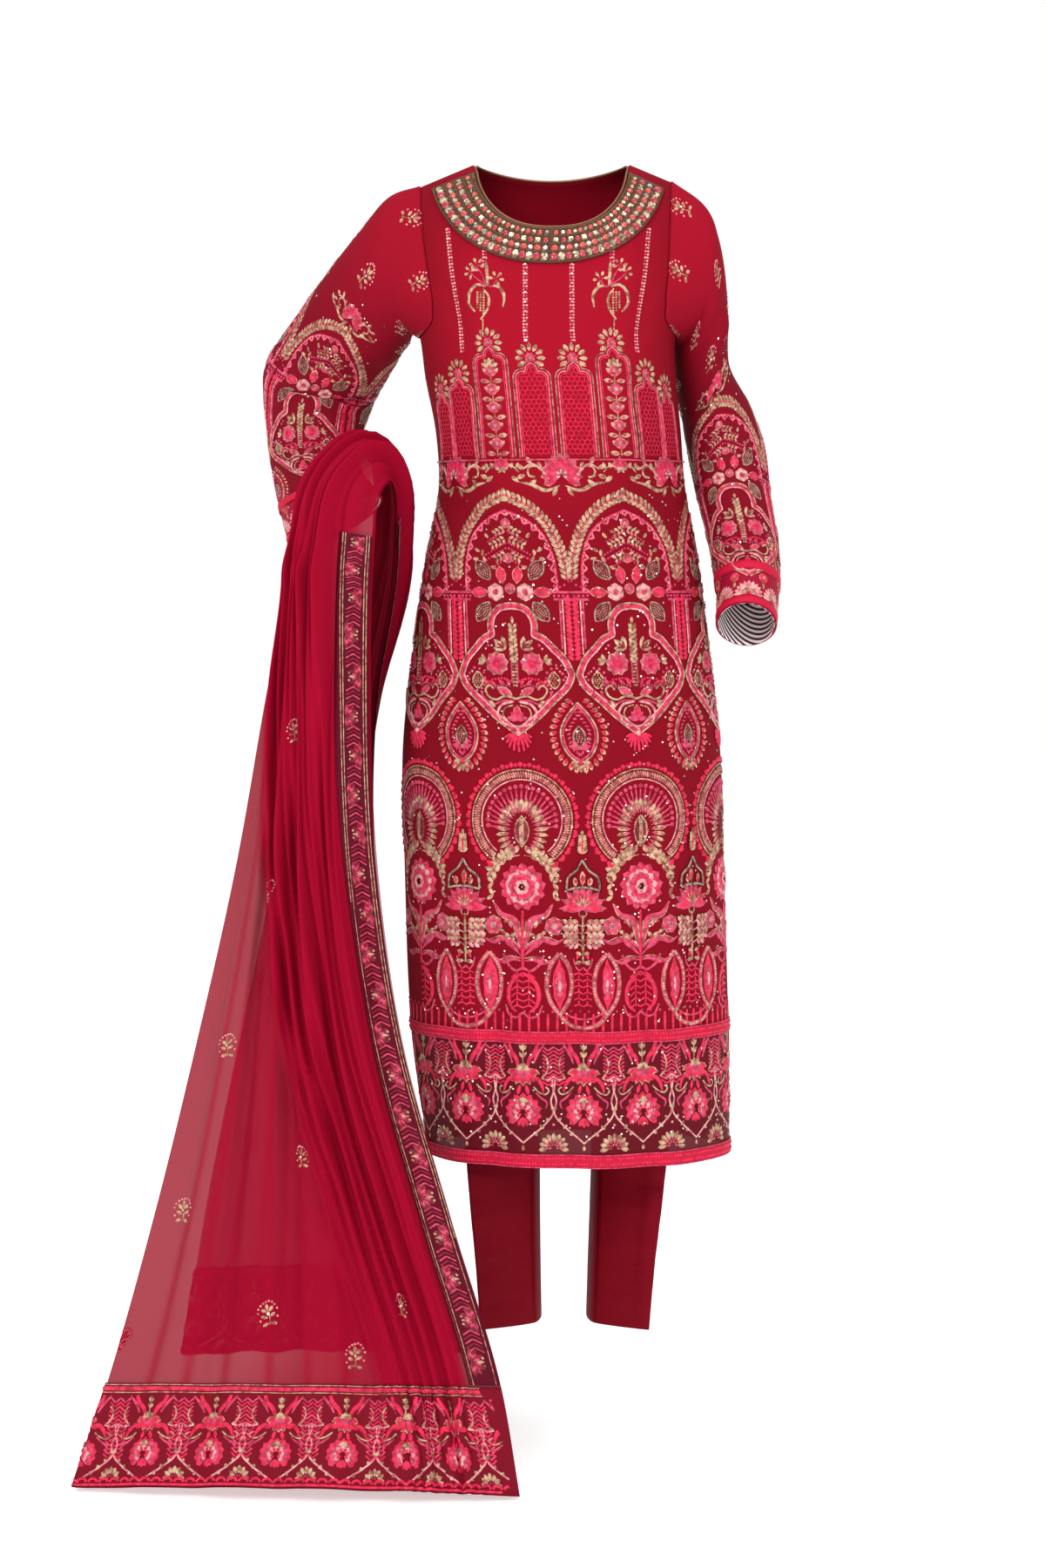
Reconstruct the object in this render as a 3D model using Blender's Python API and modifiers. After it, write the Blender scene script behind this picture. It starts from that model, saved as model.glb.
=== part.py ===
"""Salwar kameez suit: a long tunic, straight cropped trousers and a veil laid over the right forearm.

Metres, +Z up, the front faces -Y. The origin lies midway between the two high shoulder points.
Every cloth is an open surface, its inner face, thickened outwards by a Solidify modifier.
A surface is a function of u (across) and v (upwards), both from 0 to 1.
"""

import bmesh
import bpy
import numpy as np

# Cloth and seams
WALL = 0.0010
SEAM = 0.0003
LAY = WALL + SEAM
TRIM_LAY = LAY + 0.0003

# Heights below the shoulder points
UNDERARM = -0.197
LEVEL_ROWS = -0.300
SLIT_TOP = -0.640
BORDER_TOP = -0.982
HEM = -1.128
LACE = (-0.989, -0.975)
HEM_TAPE = (-1.1275, -1.112)
SLIT_SPREAD = 0.009
SLIT_OPENS = 0.450

# Neck and shoulder
NECK_LEFT = -0.088
NECK_RIGHT = 0.089
NECK_DROP_FRONT = 0.080
NECK_DROP_BACK = 0.014
NECK_ROUND = 2.4
SHOULDER_SLOPE = 0.42
CHEST_RISE = 0.220
RIDGE_FRONT = 1.5
RIDGE_BACK = 3.0

# Body rings: how far the cloth reaches left, right, forwards and backwards at each height
BODY_COLUMNS = ("height", "left", "right", "front", "back")
BODY = (
    (0.020, -0.200, 0.190, 0.104, 0.098),
    (-0.060, -0.195, 0.185, 0.105, 0.100),
    (-0.120, -0.177, 0.167, 0.110, 0.100),
    (-0.165, -0.160, 0.151, 0.118, 0.098),
    (-0.197, -0.150, 0.142, 0.124, 0.096),
    (-0.240, -0.144, 0.142, 0.130, 0.093),
    (-0.310, -0.131, 0.148, 0.120, 0.088),
    (-0.365, -0.128, 0.152, 0.109, 0.087),
    (-0.450, -0.143, 0.167, 0.113, 0.100),
    (-0.550, -0.157, 0.180, 0.123, 0.120),
    (-0.660, -0.169, 0.192, 0.129, 0.131),
    (-0.810, -0.167, 0.197, 0.126, 0.126),
    (-1.000, -0.158, 0.202, 0.120, 0.114),
    (-1.130, -0.140, 0.203, 0.116, 0.106),
)

# Armhole seam, seen from the front
ARMHOLE_COLUMNS = ("height", "left", "right")
ARMHOLE = (
    (-0.024, -0.150, 0.137),
    (-0.080, -0.146, 0.134),
    (-0.130, -0.139, 0.131),
    (-0.165, -0.134, 0.128),
    (-0.188, -0.138, 0.131),
    (-0.197, -0.150, 0.142),
)

ARMHOLE_LAP = 0.990
ARMHOLE_LIFT = LAY + 0.0004

# Soft vertical folds: place across at the top and at the foot, where each runs, how deep and wide
FOLD_COLUMNS = ("top_x", "foot_x", "top_z", "foot_z", "depth", "width")
FOLD_GROWTH = 0.5
FRONT_FOLDS = (
    (-0.075, -0.108, -0.56, -1.20, 0.0065, 0.026),
    (0.004, -0.028, -0.66, -1.20, 0.0050, 0.034),
    (0.070, 0.062, -0.58, -1.20, 0.0070, 0.030),
    (0.120, 0.150, -0.50, -1.20, 0.0060, 0.026),
    (-0.090, -0.050, -0.28, -0.44, 0.0030, 0.018),
    (0.100, 0.060, -0.29, -0.43, 0.0030, 0.018),
)
BACK_FOLDS = (
    (-0.060, -0.090, -0.50, -1.20, 0.0070, 0.030),
    (0.018, 0.020, -0.42, -1.20, 0.0080, 0.034),
    (0.095, 0.125, -0.52, -1.20, 0.0065, 0.028),
)

# Sleeves: each ring by its outer point, its inner point and how deep it is fore and aft
SLEEVE_COLUMNS = ("outer_x", "outer_y", "outer_z", "inner_x", "inner_y", "inner_z", "deep")
SLEEVE_RIGHT = (
    (-0.184, -0.001, -0.037, -0.153, 0.006, -0.196, 0.058),
    (-0.215, 0.004, -0.072, -0.158, 0.012, -0.190, 0.058),
    (-0.248, 0.020, -0.110, -0.170, 0.026, -0.206, 0.057),
    (-0.296, 0.050, -0.170, -0.193, 0.056, -0.243, 0.055),
    (-0.332, 0.080, -0.220, -0.207, 0.078, -0.264, 0.055),
    (-0.336, 0.095, -0.264, -0.218, 0.066, -0.287, 0.050),
    (-0.330, 0.0855, -0.310, -0.226, 0.0365, -0.312, 0.0355),
    (-0.322, 0.0655, -0.355, -0.223, -0.0055, -0.342, 0.0250),
    (-0.311, 0.0395, -0.398, -0.208, -0.0435, -0.366, 0.0240),
    (-0.298, 0.0115, -0.440, -0.195, -0.0755, -0.382, 0.0215),
)
SLEEVE_LEFT = (
    (0.168, 0.002, -0.042, 0.1455, 0.008, -0.202, 0.057),
    (0.184, 0.006, -0.072, 0.1465, 0.014, -0.214, 0.057),
    (0.194, 0.014, -0.118, 0.1475, 0.020, -0.236, 0.056),
    (0.198, 0.024, -0.175, 0.1500, 0.026, -0.262, 0.055),
    (0.204, 0.032, -0.226, 0.1535, 0.034, -0.288, 0.055),
    (0.229, 0.036, -0.272, 0.1570, 0.040, -0.312, 0.056),
    (0.246, 0.028, -0.322, 0.1630, 0.034, -0.345, 0.055),
    (0.252, 0.010, -0.378, 0.1710, 0.018, -0.388, 0.053),
    (0.258, -0.012, -0.434, 0.1820, -0.006, -0.438, 0.051),
    (0.258, -0.034, -0.486, 0.1880, -0.030, -0.484, 0.050),
    (0.252, -0.056, -0.528, 0.1880, -0.052, -0.524, 0.052),
)
CUFF_SHARE = 0.90
CUFF_TAPE_SHARE = 0.018
CUFF_GAP_SHARE = 0.0006
EDGING_START = 0.002

# Yoke: a crescent on the front between the neckline and its outer curve, square at its upper ends
YOKE_TOP = -0.012
YOKE_LEFT = -0.140
YOKE_RIGHT = 0.132
YOKE_OUTER_DROP = 0.122
YOKE_ROUND = 2.2
YOKE_WALL = 0.0014
YOKE_CLEAR = 0.0006
YOKE_ROWS = 5
YOKE_STONES = 27
YOKE_END = 0.002
STONE_RISE = (0.0, 0.0040, 0.0042, 0.0036, 0.0028, 0.0)
PIPING_RADIUS = 0.0014

# Trousers: centre of each leg, its half width and half depth; the crease turned out
LEG_COLUMNS = ("height", "right_x", "left_x", "middle_y", "side", "deep")
LEGS = (
    (-0.640, -0.070, 0.098, 0.004, 0.078, 0.100),
    (-0.760, -0.068, 0.100, 0.002, 0.066, 0.088),
    (-0.900, -0.064, 0.098, 0.000, 0.056, 0.078),
    (-1.050, -0.058, 0.094, 0.002, 0.047, 0.070),
    (-1.180, -0.053, 0.086, 0.006, 0.040, 0.063),
    (-1.260, -0.049, 0.080, 0.008, 0.036, 0.058),
    (-1.330, -0.046, 0.076, 0.010, 0.034, 0.055),
)
WAIST = (-0.392, -0.352)
WAIST_INSET = 0.0020
TROUSER_HEM = -1.328
CROTCH = (-0.560, -0.690)
HIP_EASE = 0.020
HIP_EASE_HEIGHTS = (0.010, 0.120)
CREASE_OUT = 38.0
CREASE_SWING = 0.5
LENS_POWER = 0.72

# Veil, folded once along its length: rows from its front end on the floor, over the forearm, to its back end.
# Each row gives its length along the veil, the folded edge (x, y, z), the two open edges (x, y, z),
# the outward bulge, the depth of the gathers and how far apart the two layers are.
VEIL = (
    (0.000, -0.519, -0.206, -1.455, -0.036, -0.238, -1.455, 0.030, 0.0040, 0.0060),
    (0.090, -0.492, -0.166, -1.368, -0.053, -0.200, -1.364, 0.020, 0.0050, 0.0070),
    (0.280, -0.441, -0.128, -1.180, -0.111, -0.160, -1.176, 0.012, 0.0060, 0.0075),
    (0.470, -0.396, -0.102, -0.990, -0.165, -0.140, -0.988, 0.012, 0.0070, 0.0075),
    (0.660, -0.355, -0.078, -0.800, -0.194, -0.124, -0.798, 0.014, 0.0065, 0.0070),
    (0.855, -0.322, -0.056, -0.607, -0.203, -0.114, -0.606, 0.016, 0.0055, 0.0060),
    (0.970, -0.301, -0.044, -0.490, -0.202, -0.112, -0.492, 0.020, 0.0040, 0.0050),
    (1.050, -0.293, -0.036, -0.425, -0.199, -0.112, -0.440, 0.022, 0.0030, 0.0045),
    (1.100, -0.285, -0.032, -0.371, -0.196, -0.110, -0.394, 0.020, 0.0030, 0.0040),
    (1.140, -0.267, -0.020, -0.337, -0.189, -0.102, -0.373, 0.016, 0.0030, 0.0035),
    (1.175, -0.238, 0.000, -0.319, -0.181, -0.090, -0.366, 0.015, 0.0030, 0.0035),
    (1.215, -0.210, 0.024, -0.336, -0.176, -0.076, -0.386, 0.008, 0.0030, 0.0040),
    (1.275, -0.205, 0.044, -0.405, -0.177, -0.068, -0.450, 0.004, 0.0045, 0.0045),
    (1.455, -0.262, 0.062, -0.600, -0.203, -0.036, -0.620, 0.006, 0.0060, 0.0060),
    (1.655, -0.318, 0.074, -0.800, -0.206, 0.012, -0.815, 0.008, 0.0065, 0.0065),
    (1.855, -0.362, 0.082, -1.000, -0.186, 0.092, -1.010, 0.010, 0.0065, 0.0070),
    (2.055, -0.402, 0.088, -1.195, -0.130, 0.122, -1.205, 0.012, 0.0060, 0.0070),
    (2.255, -0.434, 0.092, -1.388, -0.104, 0.132, -1.396, 0.014, 0.0060, 0.0070),
)
VEIL_JOINS = (1.064, 1.245)
VEIL_FRONT_ROWS = 16
VEIL_ARM_ROWS = 6
VEIL_BACK_ROWS = 15
VEIL_BORDER_ROWS = 2
VEIL_EDGE = 0.060
VEIL_EDGE_U = 1 / 26
VEIL_TURN = 0.06
VEIL_WAVES = 5
VEIL_WAVE_DRIFT = 0.9
VEIL_STEP = 0.004
VEIL_BORDER_GAP = 0.0012

# How finely each cloth is divided: across, upwards
FRONT_GRID = (24, 22)
BACK_GRID = (20, 16)
BORDER_GRID = 3
ROW_CROWDING = 1.5
NECK_CROWDING = 2.8
SLEEVE_GRID = (18, 12)
LEG_GRID = (6, 11)
WAIST_GRID = (28, 1)
CUFF_GRID = 2
VEIL_ACROSS = 26

# Colour, roughness and metallic value of each material
GEORGETTE = ((0.420, 0.006, 0.050, 1.0), 0.75, 0.0)
ORGANZA = ((0.180, 0.006, 0.030, 1.0), 0.45, 0.0)
BRAID = ((0.700, 0.040, 0.190, 1.0), 0.60, 0.0)
RAW_SILK = ((0.230, 0.010, 0.030, 1.0), 0.60, 0.0)
CHIFFON = ((0.420, 0.006, 0.050, 1.0), 0.70, 0.0)
VEIL_BORDER = ((0.550, 0.020, 0.130, 1.0), 0.60, 0.0)
BRONZE_BEADS = ((0.230, 0.150, 0.080, 1.0), 0.35, 0.7)
BRONZE_CORD = ((0.230, 0.150, 0.080, 1.0), 0.50, 0.3)


def column(names, rows, name, at):
    """Reads one column of a section table smoothly at any value of its first column."""
    rows = np.asarray(rows, float)
    rows = rows[np.argsort(rows[:, 0])]
    x = rows[:, 0]
    y = rows[:, names.index(name)]
    return smooth(x, y[:, None], at)[..., 0]


def smooth(x, y, at):
    """A cubic curve through the points (x, y), one y row for each x, read at the values in at."""
    step = np.diff(x)
    rise = np.diff(y, axis=0) / step[:, None]
    share = (step[1:] / (step[:-1] + step[1:]))[:, None]
    slope = np.concatenate([rise[:1], rise[:-1] * share + rise[1:] * (1 - share), rise[-1:]])
    at = np.clip(at, x[0], x[-1])
    i = np.clip(np.searchsorted(x, at, side="right") - 1, 0, len(x) - 2)
    t = ((at - x[i]) / step[i])[..., None]
    h = step[i][..., None]
    return (
        y[i] * (2 * t**3 - 3 * t**2 + 1)
        + slope[i] * h * (t**3 - 2 * t**2 + t)
        + y[i + 1] * (3 * t**2 - 2 * t**3)
        + slope[i + 1] * h * (t**3 - t**2)
    )


def body(name, z):
    return column(BODY_COLUMNS, BODY, name, z)


def window(value, low, high):
    """0 below low, 1 above high and a soft step between."""
    t = np.clip((value - low) / (high - low), 0, 1)
    return t * t * (3 - 2 * t)


def fold_depth(folds, x, z):
    """How far the folds push the cloth out at x, z."""
    total = np.zeros_like(x)
    for top_x, foot_x, top_z, foot_z, depth, width in folds:
        t = np.clip((top_z - z) / (top_z - foot_z), 0, 1)
        centre = top_x + (foot_x - top_x) * t
        strength = np.sin(np.pi * t) if foot_z > HEM else window(t, 0.0, FOLD_GROWTH)
        total += depth * strength * np.exp(-(((x - centre) / width) ** 2))
    return total


def shoulder(x):
    """Height of the shoulder line above x."""
    beyond = np.maximum(np.maximum(x - NECK_RIGHT, NECK_LEFT - x), 0)
    return -SHOULDER_SLOPE * beyond


def body_y(x, z, face, folds):
    """Depth of the cloth at x, z. The face is -1 at the front and 1 at the back."""
    middle = (body("left", z) + body("right", z)) / 2
    reach = np.where(x < middle, middle - body("left", z), body("right", z) - middle)
    across = np.clip(np.abs(x - middle) / reach, 0, 1)
    side = np.sqrt(1 - across**2)
    ridge = RIDGE_FRONT if face < 0 else RIDGE_BACK
    fall = np.clip((shoulder(x) - z) / CHEST_RISE, 0, 1)
    rise = (1 - (1 - fall) ** ridge) ** (1 / ridge)
    depth = body("front" if face < 0 else "back", z) * side * rise
    slit = SLIT_SPREAD * window(SLIT_TOP - z, 0.0, SLIT_OPENS)
    return face * (depth + fold_depth(folds, x, z) * np.minimum(1, side * 2) + SEAM / 2 + slit * (1 - side))


def neckline(x, face):
    """Height of the neck edge at x."""
    middle = (NECK_LEFT + NECK_RIGHT) / 2
    half = (NECK_RIGHT - NECK_LEFT) / 2
    share = np.clip(np.abs(x - middle) / half, 0, 1)
    if face < 0:
        return -NECK_DROP_FRONT * np.sqrt(1 - share**NECK_ROUND)
    return -NECK_DROP_BACK * (1 - share**2)


def edge_height(level):
    """Height on the side edge of a panel for a row level."""
    top = ARMHOLE[0][0]
    return np.where(level < LEVEL_ROWS, level, top + (LEVEL_ROWS - top) * level / LEVEL_ROWS)


def edge_x(side, level):
    """The armhole seam and, below it, the side seam."""
    z = edge_height(level)
    seam = body(side, z)
    armhole = column(ARMHOLE_COLUMNS, ARMHOLE, side, z)
    return np.where(z > UNDERARM, armhole, seam)


def panel_xz(u, level, face):
    """Where a point of the front or back panel lies, seen from the front; u runs from -1 to 1."""
    left, right = edge_x("left", level), edge_x("right", level)
    middle = (left + right) / 2
    half = (right - left) / 2
    top_left, top_right = ARMHOLE[0][1], ARMHOLE[0][2]
    top_middle, top_half = (top_left + top_right) / 2, (top_right - top_left) / 2
    neck = np.where(u < 0, top_middle - NECK_LEFT, NECK_RIGHT - top_middle) / top_half
    beyond = np.clip((np.abs(u) - 0.5) / 0.5, 0, 1)
    near = neck * np.sin(np.minimum(np.abs(u), 0.5) * NECK_CROWDING) / np.sin(0.5 * NECK_CROWDING)
    share = np.where(np.abs(u) <= 0.5, near, neck + (1 - neck) * np.sin(beyond * np.pi / 2))
    x = middle + np.sign(u) * share * half
    top_x = top_middle + np.sign(u) * share * top_half
    top = np.where(np.abs(u) < 0.5, neckline(top_x, face), shoulder(top_x))
    z = np.where(level < LEVEL_ROWS, level, top + (LEVEL_ROWS - top) * level / LEVEL_ROWS)
    return x, z


def kameez(u, v, face, low, high):
    """A point of the front (face -1) or back (1) between two row levels."""
    across = (2 * u - 1) * -face
    x, z = panel_xz(across, low + (high - low) * v, face)
    y = body_y(x, z, face, FRONT_FOLDS if face < 0 else BACK_FOLDS)
    return np.stack([x, y, z], axis=-1)


def armhole_loop(side, turn):
    """The armhole seam from the shoulder (turn 0) down the front to the underarm (pi) and up the back,
    lapped a little over the tunic."""
    sign = -1 if side == "left" else 1
    top = ARMHOLE[0][0]
    low = LEVEL_ROWS * (UNDERARM - top) / (LEVEL_ROWS - top)
    v = 1 - low * (1 - np.cos(turn)) / 2 / LEVEL_ROWS
    loops = []
    for face in (-1, 1):
        def panel(u, v, face=face):
            return kameez(u, v, face, LEVEL_ROWS, 0.0)

        across = np.full_like(turn, (1 - sign * face * ARMHOLE_LAP) / 2)
        loops.append(panel(across, v) + normals(panel, across, v) * ARMHOLE_LIFT)
    return np.where((turn <= np.pi)[..., None], loops[0], loops[1])


def sleeve_rings(rows, turn, side):
    """Every ring of a sleeve at the given turns: the armhole first, then the table's rings."""
    rows = np.asarray(rows)
    outer, inner, deep = rows[:, 0:3], rows[:, 3:6], rows[:, 6]
    middle = (outer + inner) / 2
    path = np.gradient(middle, axis=0)
    long = (outer - inner) / 2
    facing = np.cross(path, long)
    facing /= np.linalg.norm(facing, axis=1)[:, None]
    facing *= np.sign(-facing[:, 1])[:, None]
    rings = [armhole_loop(side, turn)]
    for m, a, b, d in zip(middle, long, facing, deep):
        rings.append(m + np.cos(turn)[..., None] * a + np.sin(turn)[..., None] * b * d)
    return np.array(rings)


def sleeve(u, v, rows, side, low=0.0, high=1.0):
    """A point of a sleeve; u runs round it and v from its cuff up to the armhole."""
    turn = 2 * np.pi * (1 - u if side == "right" else u)
    rings = sleeve_rings(rows, turn.ravel(), side)
    count = len(rings)
    along = (low + (high - low) * (1 - v)).ravel() * (count - 1)
    i = np.arange(turn.size)
    knots = np.arange(count, dtype=float)
    base = np.clip(along.astype(int), 0, count - 2)
    t = (along - base)[:, None]
    before, after = np.maximum(base - 1, 0), np.minimum(base + 2, count - 1)
    p0, p1, p2, p3 = rings[before, i], rings[base, i], rings[base + 1, i], rings[after, i]
    slope1 = (p2 - p0) / (knots[base + 1] - knots[before])[:, None]
    slope2 = (p3 - p1) / (knots[after] - knots[base])[:, None]
    points = (
        p1 * (2 * t**3 - 3 * t**2 + 1)
        + slope1 * (t**3 - 2 * t**2 + t)
        + p2 * (3 * t**2 - 2 * t**3)
        + slope2 * (t**3 - t**2)
    )
    return points.reshape(u.shape + (3,))


def leg(name, z):
    return column(LEG_COLUMNS, LEGS, name, z)


def trousers(u, v, side, face):
    """A point of one trouser panel; u runs from the centre seam to the side seam, whatever the side."""
    sign = -1 if side == "right" else 1
    z = TROUSER_HEM + (WAIST[0] - SEAM - TROUSER_HEM) * v
    middle = (body("left", z) + body("right", z)) / 2
    below = WAIST[0] - z
    ease = WAIST_INSET + HIP_EASE * window(below, *HIP_EASE_HEIGHTS)
    reach = (body("right", z) - body("left", z)) / 2 - ease
    depth = body("front" if face < 0 else "back", z) - ease
    angle = u * np.pi / 2
    hip_x = middle + sign * (SEAM / 2 + reach * np.sin(angle))
    hip_y = face * (depth * np.cos(angle) + SEAM / 2)
    across = 2 * u - 1
    lens_x = leg("side", z) * across
    lens_y = face * leg("deep", z) * (1 - np.abs(across)) ** LENS_POWER
    crease = np.radians(CREASE_OUT)
    leg_x = sign * (lens_x * np.cos(crease) - lens_y * np.sin(crease))
    leg_y = lens_x * np.sin(crease) * CREASE_SWING + lens_y * np.cos(crease) + face * SEAM / 2
    leg_x += leg("right_x" if side == "right" else "left_x", z)
    leg_y += leg("middle_y", z)
    split = window(-z, -CROTCH[0], -CROTCH[1])
    x = hip_x * (1 - split) + leg_x * split
    y = hip_y * (1 - split) + leg_y * split
    return np.stack([x, y, z], axis=-1)


def waistband(u, v):
    """The waist ring, its outer face just inside the tunic."""
    z = WAIST[0] + (WAIST[1] - WAIST[0]) * v
    angle = 2 * np.pi * u
    middle = (body("left", z) + body("right", z)) / 2
    reach = (body("right", z) - body("left", z)) / 2 - WAIST_INSET
    front = np.cos(angle) > 0
    depth = np.where(front, body("front", z), body("back", z)) - WAIST_INSET
    x = middle + reach * np.sin(angle)
    return np.stack([x, -depth * np.cos(angle), z], axis=-1)


def veil(u, v, low=0.0, high=VEIL[-1][0]):
    """A point of the folded veil: u runs from the inner layer's open edge to the fold and back along
    the outer layer, v from its front end, over the forearm, to its back end."""
    u = 1 - u
    table = np.asarray(VEIL)
    length = low + (high - low) * v
    row = smooth(table[:, 0], table[:, 1:], length)
    fold, free, bulge, wave, apart = row[..., 0:3], row[..., 3:6], row[..., 6:7], row[..., 7:8], row[..., 8:9]
    ahead = smooth(table[:, 0], table[:, 1:7], length + VEIL_STEP)
    behind = smooth(table[:, 0], table[:, 1:7], length - VEIL_STEP)
    path = (ahead[..., 0:3] + ahead[..., 3:6] - behind[..., 0:3] - behind[..., 3:6]) / 2
    chord = fold - free
    out = np.cross(path, chord)
    out /= np.linalg.norm(out, axis=-1, keepdims=True)
    layer = np.clip((u - 0.5) / VEIL_TURN, -1, 1)
    share = np.interp(np.minimum(u, 1 - u), (0, VEIL_EDGE_U, 0.5 - VEIL_TURN), (0, VEIL_EDGE, 1))
    flat = 1 - VEIL_TURN / 3
    across = share * flat + np.sqrt(1 - layer**2) * (1 - flat)
    hollow = np.sin(np.pi * share)
    waves = np.sin(2 * np.pi * VEIL_WAVES * share + VEIL_WAVE_DRIFT * length) * hollow * (2 - hollow)
    push = bulge[..., 0] * hollow + wave[..., 0] * waves - apart[..., 0] / 2 * np.sin(layer * np.pi / 2)
    return free + chord * across[..., None] + out * push[..., None]


def normals(place, u, v):
    """Outward unit normals of a surface."""
    step = 1e-4
    left, right = place(np.clip(u - step, 0, 1), v), place(np.clip(u + step, 0, 1), v)
    down, up = place(u, np.clip(v - step, 0, 1)), place(u, np.clip(v + step, 0, 1))
    out = np.cross(right - left, up - down)
    return out / np.maximum(np.linalg.norm(out, axis=-1, keepdims=True), 1e-12)


def moved_out(place, distance):
    """The same surface, moved out along its normals."""

    def moved(u, v):
        return place(u, v) + normals(place, u, v) * distance

    return moved


def part_of(place, u_low=0.0, u_high=1.0, v_low=0.0, v_high=1.0):
    """A window of a surface as a surface of its own."""

    def part(u, v):
        return place(u_low + (u_high - u_low) * u, v_low + (v_high - v_low) * v)

    return part


def material(name, colour, roughness, metallic):
    made = bpy.data.materials.new(name)
    made.use_nodes = True
    shader = made.node_tree.nodes["Principled BSDF"]
    shader.inputs["Base Color"].default_value = colour
    shader.inputs["Roughness"].default_value = roughness
    shader.inputs["Metallic"].default_value = metallic
    made.diffuse_color = colour
    return made


def grid_mesh(name, place, across, up, closed=False):
    """A grid of quads laid on a surface, its round edges merged where the surface is a tube."""
    cage = bmesh.new()
    bmesh.ops.create_grid(cage, x_segments=across, y_segments=up, size=0.5)
    uv = np.array([vertex.co[:2] for vertex in cage.verts]) + 0.5
    for vertex, point in zip(cage.verts, place(uv[:, 0], uv[:, 1])):
        vertex.co = point
    if closed:
        bmesh.ops.remove_doubles(cage, verts=cage.verts, dist=1e-5)
    mesh = bpy.data.meshes.new(name)
    cage.to_mesh(mesh)
    cage.free()
    return mesh


def add_cloth(collection, name, place, grid, look, wall=WALL, closed=False):
    """One cloth piece: a surface, thickened outwards."""
    mesh = grid_mesh(name, place, grid[0], grid[1], closed)
    mesh.materials.append(look)
    mesh.shade_smooth()
    piece = bpy.data.objects.new(name, mesh)
    collection.objects.link(piece)
    solid = piece.modifiers.new("thickness", "SOLIDIFY")
    solid.thickness = wall
    solid.offset = 1.0
    solid.use_even_offset = False
    return piece


def yoke_place(u, v):
    """The crescent round the front of the neck; u runs from its left to its right end, v from its outer
    edge to the neckline."""
    turn = 2 * u - 1
    inner_turn = turn * np.arccos(-YOKE_TOP / NECK_DROP_FRONT)
    outer_turn = turn * np.arccos((SHOULDER_SLOPE * (YOKE_RIGHT - NECK_RIGHT) - YOKE_TOP) / YOKE_OUTER_DROP)
    inner_x, inner_z = crescent(inner_turn, NECK_LEFT, NECK_RIGHT, NECK_DROP_FRONT, NECK_ROUND)
    outer_x, outer_z = crescent(outer_turn, YOKE_LEFT, YOKE_RIGHT, YOKE_OUTER_DROP, YOKE_ROUND)
    x = outer_x + (inner_x - outer_x) * v
    z = outer_z + (inner_z - outer_z) * v
    return np.stack([x, body_y(x, z, -1, ()), z], axis=-1)


def crescent(turn, left, right, drop, roundness):
    """A point of a rounded U, from its lowest point at turn 0 to its upper ends at a quarter turn."""
    middle, half = (left + right) / 2, (right - left) / 2
    return middle + half * np.sign(turn) * np.abs(np.sin(turn)) ** (2 / roundness), -drop * np.cos(turn)


def add_yoke(collection, look):
    """The jewelled yoke: a plain inside and an outside raised at each row of stones."""
    across = 2 * YOKE_STONES
    inside = moved_out(yoke_place, LAY + YOKE_CLEAR)
    mesh = grid_mesh("neck_yoke", inside, across, YOKE_ROWS)
    cage = bmesh.new()
    cage.from_mesh(mesh)
    below = [(vertex, vertex.co.copy()) for vertex in cage.verts]
    row, place = np.divmod(np.arange(len(below)), across + 1)
    uv = np.stack([place / across, row / YOKE_ROWS], axis=-1)
    out = normals(yoke_place, np.clip(uv[:, 0], YOKE_END, 1 - YOKE_END), uv[:, 1])
    raised = []
    for (vertex, point), (u, v), way in zip(below, uv, out):
        row = int(round(v * YOKE_ROWS))
        stone = (int(round(u * across)) + row) % 2
        raised.append(cage.verts.new(np.array(point) + way * (YOKE_WALL + stone * STONE_RISE[row])))
    wide = across + 1
    order = {vertex: i for i, (vertex, _) in enumerate(below)}
    for face in list(cage.faces):
        corners = [order[corner] for corner in face.verts]
        cage.faces.new([raised[i] for i in corners])
        face.normal_flip()
    rim = (
        [i for i in range(wide)]
        + [row * wide + wide - 1 for row in range(1, YOKE_ROWS + 1)]
        + [YOKE_ROWS * wide + i for i in range(wide - 2, -1, -1)]
        + [row * wide for row in range(YOKE_ROWS - 1, 0, -1)]
    )
    for a, b in zip(rim, rim[1:] + rim[:1]):
        cage.faces.new([below[a][0], below[b][0], raised[b], raised[a]])
    cage.normal_update()
    cage.to_mesh(mesh)
    cage.free()
    mesh.materials.append(look)
    collection.objects.link(bpy.data.objects.new("neck_yoke", mesh))


def neck_edge():
    """The neck edge of front and back as one loop of points, with the way out of the cloth's edge."""
    front = np.linspace(0.25, 0.75, FRONT_GRID[0] // 2 + 1)
    back = np.linspace(0.25, 0.75, BACK_GRID[0] // 2 + 1)[1:-1]
    loops = []
    for across, face in ((front, -1), (back, 1)):
        def panel(u, v, face=face):
            return kameez(u, v, face, LEVEL_ROWS, 0.0)

        top = np.ones_like(across)
        loops.append((panel(across, top), normals(panel, across, top)))
    points = np.concatenate([loops[0][0], loops[1][0]])
    out = np.concatenate([loops[0][1], loops[1][1]])
    along = np.roll(points, -1, axis=0) - np.roll(points, 1, axis=0)
    free = np.cross(out, along)
    free /= np.linalg.norm(free, axis=1)[:, None]
    return points, out, free


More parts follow.
